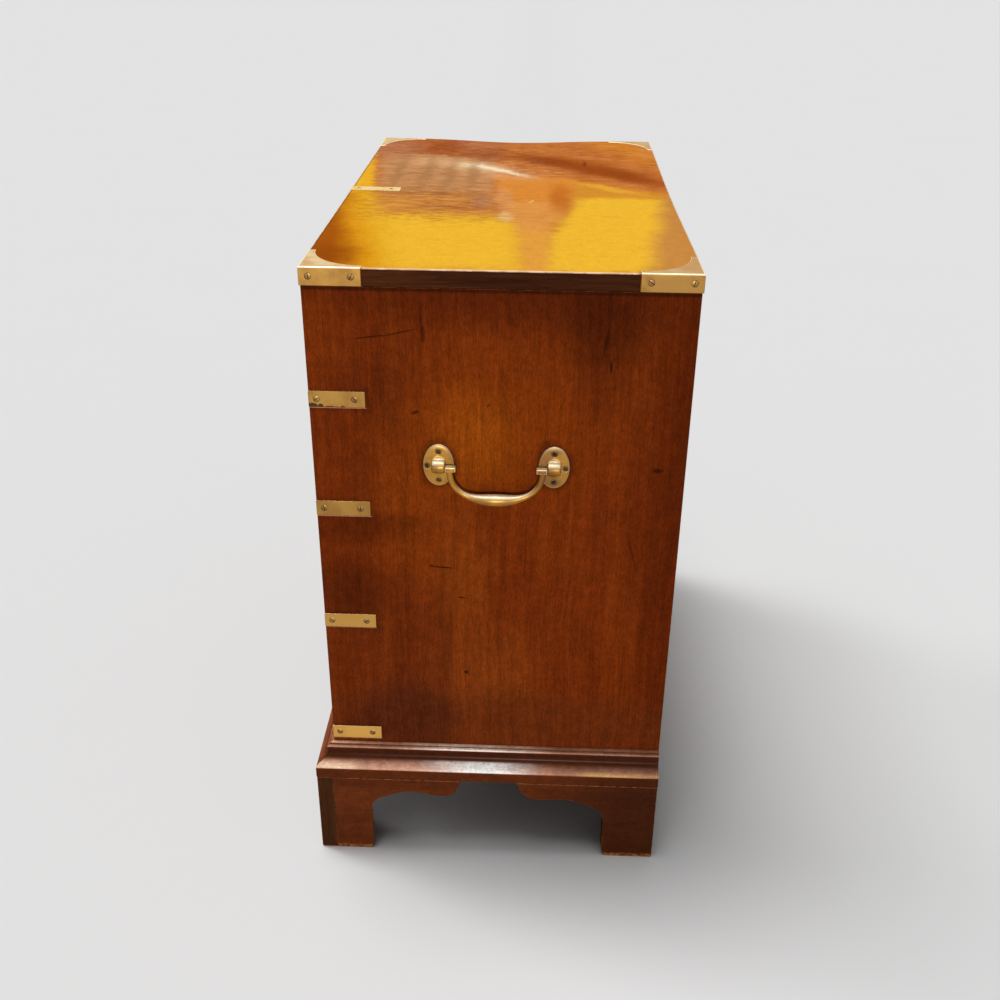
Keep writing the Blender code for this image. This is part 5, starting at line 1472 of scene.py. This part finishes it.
def add_tails(shape, outer_x, inner_x, low_z, high_z, root_y, reach):
    """Dovetails along one end of a board, wider at their ends."""
    count = max(2, round((high_z - low_z) / TAIL_PITCH))
    pitch = (high_z - low_z) / count
    narrow = pitch * TAIL_SHARE
    wide = narrow * TAIL_SPLAY
    far_y = root_y + reach
    for number in range(count):
        z = low_z + (number + 0.5) * pitch
        outline = [(root_y, z - narrow), (root_y, z + narrow), (far_y, z + wide), (far_y, z - wide)]
        absorb(shape, prism_shape(outline, "x", *sorted((outer_x, inner_x))))


def make_drawer_box(name):
    """Dovetailed sides, a back, a bottom and its runners."""
    low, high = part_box(f"{name}_box")
    left, right = low.x + SIDE_THICKNESS, high.x - SIDE_THICKNESS
    floor = low.z + FLOOR_RISE
    floor_top = floor + FLOOR_THICKNESS
    back_y = high.y - SIDE_THICKNESS
    back_top = high.z - BACK_DROP
    sides, back, bottom = (bmesh.new() for _ in range(3))
    absorb(back, slab_shape((left, back_y, floor_top), (right, high.y - MITRE_GAP, back_top)))
    absorb(bottom, slab_shape((left, low.y, floor), (right, high.y, floor_top), FLOOR_ARRIS))
    for outer, sign in ((low.x, -1), (high.x, 1)):
        inner = outer - sign * SIDE_THICKNESS
        absorb(sides, slab_shape((outer, low.y, low.z), (inner, high.y, high.z)))
        add_tails(sides, outer, outer - sign * TAIL_DEPTH, low.z, high.z, low.y, -TAIL_LENGTH)
        proud = outer + sign * TAIL_PROUD
        reach = SIDE_THICKNESS - MITRE_GAP
        add_tails(back, proud, proud - sign * TAIL_DEPTH, floor_top, back_top, back_y, reach)
        absorb(bottom, slab_shape((inner, low.y, low.z), (inner - sign * RUNNER_WIDTH, back_y, floor)))
    new_piece(f"fine_{name}_sides", sides, [LINING_Y], name, f"{name}_box")
    new_piece(f"{name}_back", back, [LINING_X], name)
    new_piece(f"{name}_floor", bottom, [LINING_X], name)


def make_lock(name, x, edge):
    """The lock's plate on the back of the drawer front, and its strip on the top edge."""
    lock = bmesh.new()
    half = LOCK_SIZE[0] / 2
    for reach, foot, head, arris in LOCK_PARTS:
        near = (x - half, edge.y - reach, edge.z + foot)
        absorb(lock, slab_shape(near, (x + half, edge.y + LOCK_PROUD, edge.z + head), arris))
    new_piece(f"{name}_lock", lock, [BRASS], name)


def make_drawer(name):
    node = f"{name}_front"
    low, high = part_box(node)
    x = (low.x + high.x) / 2
    key_z = high.z - KEYHOLE_BELOW_EDGE
    front = make_board(node, CASE_X, name)
    words = [""] if name.startswith("drawer_top") else ["_left", "_right"]
    plates = [f"{name}_handle_plate{word}" for word in words]
    holes = [(keyhole_outline(x, key_z, ESCUTCHEON_RIM), KEYHOLE_DEPTH)]
    for plate in plates:
        seats = (
            (PLATE_SIZE, PLATE_CORNER, 0, BRASS_THICKNESS - BRASS_PROUD + RECESS_GAP),
            (PAN_SIZE, PAN_CORNER, 4 * PAN_WALL, PAN_DEPTH + 2 * PAN_WALL),
        )
        for size, corner, growth, depth in seats:
            outline = rounded_rectangle(middle_of(plate), size, corner, growth + 2 * RECESS_GAP)
            holes.append((outline, depth))
    start = CASE_FRONT - CUTTER_OVERRUN
    cutters = [prism_shape(outline, "y", start, CASE_FRONT + depth) for outline, depth in holes]
    carve(front, *[new_piece("front_cutter", cutter) for cutter in cutters])
    even_normals(front)
    make_escutcheon(name, x, key_z)
    for word, plate in zip(words, plates):
        make_handle_plate(plate, name)
        make_drawer_bail(f"{name}_bail{word}", plate)
    make_drawer_box(name)
    make_lock(name, x, high)


# Camera, light and floor

CAMERA_PLACE = (1.7467, 0.0565, 1.3114)
CAMERA_YAW, CAMERA_PITCH, CAMERA_ROLL = (math.radians(angle) for angle in (-1.818, 27.899, 0.605))
FOCAL_PIXELS = 1129.3
SENSOR_WIDTH = 36
FLOOR_SIZE = 80
FLOOR_GREY = 0.768
FLOOR_MOTTLE = 0.99
FLOOR_ROUGHNESS = 0.9
AMBIENT = 0.16
SKY_REACH = 0.6  # how far off the chest still darkens the floor's colour as painted shade
SKY_SEEN = (0.1, 0.5)  # shares of open sky at which the floor's painted shade is deepest and gone
DEEP_SHADE = 0.35
LAMPS = [
    # name, degrees round from the right end and above the floor, strength and softness in degrees
    ("key", 232, 80, 1.36, 22),
    ("side_key", 250, 63.5, 0.74, 18),
    ("end_key", 335, 76, 0.36, 16),
    ("window", 245, 24, 0.62, 18),
    ("fill", 0, 1.2, 1.8, 2),
]


def make_camera():
    level_share = math.cos(CAMERA_PITCH)
    ahead = Vector((-math.cos(CAMERA_YAW), math.sin(CAMERA_YAW), 0)) * level_share
    ahead.z = -math.sin(CAMERA_PITCH)
    level = ahead.cross(Vector((0, 0, 1))).normalized()
    upward = level.cross(ahead)
    right = level * math.cos(CAMERA_ROLL) + upward * math.sin(CAMERA_ROLL)
    top = upward * math.cos(CAMERA_ROLL) - level * math.sin(CAMERA_ROLL)
    data = bpy.data.cameras.new("camera")
    data.sensor_width = SENSOR_WIDTH
    data.lens = SENSOR_WIDTH * FOCAL_PIXELS / PICTURE_WIDTH
    camera = bpy.data.objects.new("camera", data)
    bpy.context.scene.collection.objects.link(camera)
    turn = Matrix((right, top, -ahead)).transposed().to_4x4()
    camera.matrix_world = Matrix.Translation(CAMERA_PLACE) @ turn
    bpy.context.scene.camera = camera


def make_floor():
    shape = bmesh.new()
    bmesh.ops.create_grid(shape, x_segments=2, y_segments=2, size=FLOOR_SIZE / 2)
    paint = Shader("floor_paint")
    plain, faded, painted_shade_grey = ((*[FLOOR_GREY * share] * 3, 1) for share in (1, FLOOR_MOTTLE, DEEP_SHADE))
    # painted shade: the floor's colour is darkened where the chest hides the sky, under and round it
    sky = paint.add("ShaderNodeAmbientOcclusion", {"Distance": SKY_REACH}).outputs["AO"]
    lit = paint.blend(paint.noise(paint.place, 3.0, 2.0), plain, faded)
    colour = paint.blend(paint.fit(sky, *SKY_SEEN), painted_shade_grey, lit)
    paint.set(Base_Color=colour, Roughness=FLOOR_ROUGHNESS, Specular_IOR_Level=0.0)
    new_piece("floor", shape, [paint.material])


def make_lights():
    """A sky that is seen bright and lights dimly, and suns."""
    world = bpy.data.worlds.new("studio")
    world.use_nodes = True
    sky = Nodes(world.node_tree)
    paths = sky.add("ShaderNodeLightPath").outputs
    mirrored = sky.math("MAXIMUM", paths["Is Glossy Ray"], paths["Is Transmission Ray"])
    viewed = sky.math("MAXIMUM", paths["Is Camera Ray"], mirrored)
    background = sky.tree.nodes["Background"].inputs
    sky.feed(background["Color"], (1, 1, 1, 1))
    sky.feed(background["Strength"], sky.fit(viewed, 0.0, 1.0, AMBIENT, FLOOR_GREY))
    bpy.context.scene.world = world
    for name, turn, rise, strength, softness in LAMPS:
        data = bpy.data.lights.new(name, "SUN")
        data.energy = strength
        data.angle = math.radians(softness)
        lamp = bpy.data.objects.new(name, data)
        lamp.rotation_euler = (math.radians(90 - rise), 0, math.radians(90 + turn))
        bpy.context.scene.collection.objects.link(lamp)
    bpy.context.scene.view_settings.view_transform = "Standard"


make_camera()
make_floor()
make_lights()
make_top_board()
for corner_node in CORNERS:
    make_corner(corner_node)
make_top_strap()
for side_word in SIDES:
    for strap_number in range(1, 5):
        make_strap(side_word, strap_number)
make_carcase()

for side_word in SIDES:
    for end_word in ("front", "rear"):
        make_oval_plate(side_word, end_word)
        make_foot(end_word, side_word)
    make_carrying_bail(side_word)
make_base_frame()
for drawer in ("drawer_bottom", "drawer_third", "drawer_second", "drawer_top_left", "drawer_top_right"):
    make_drawer(drawer)
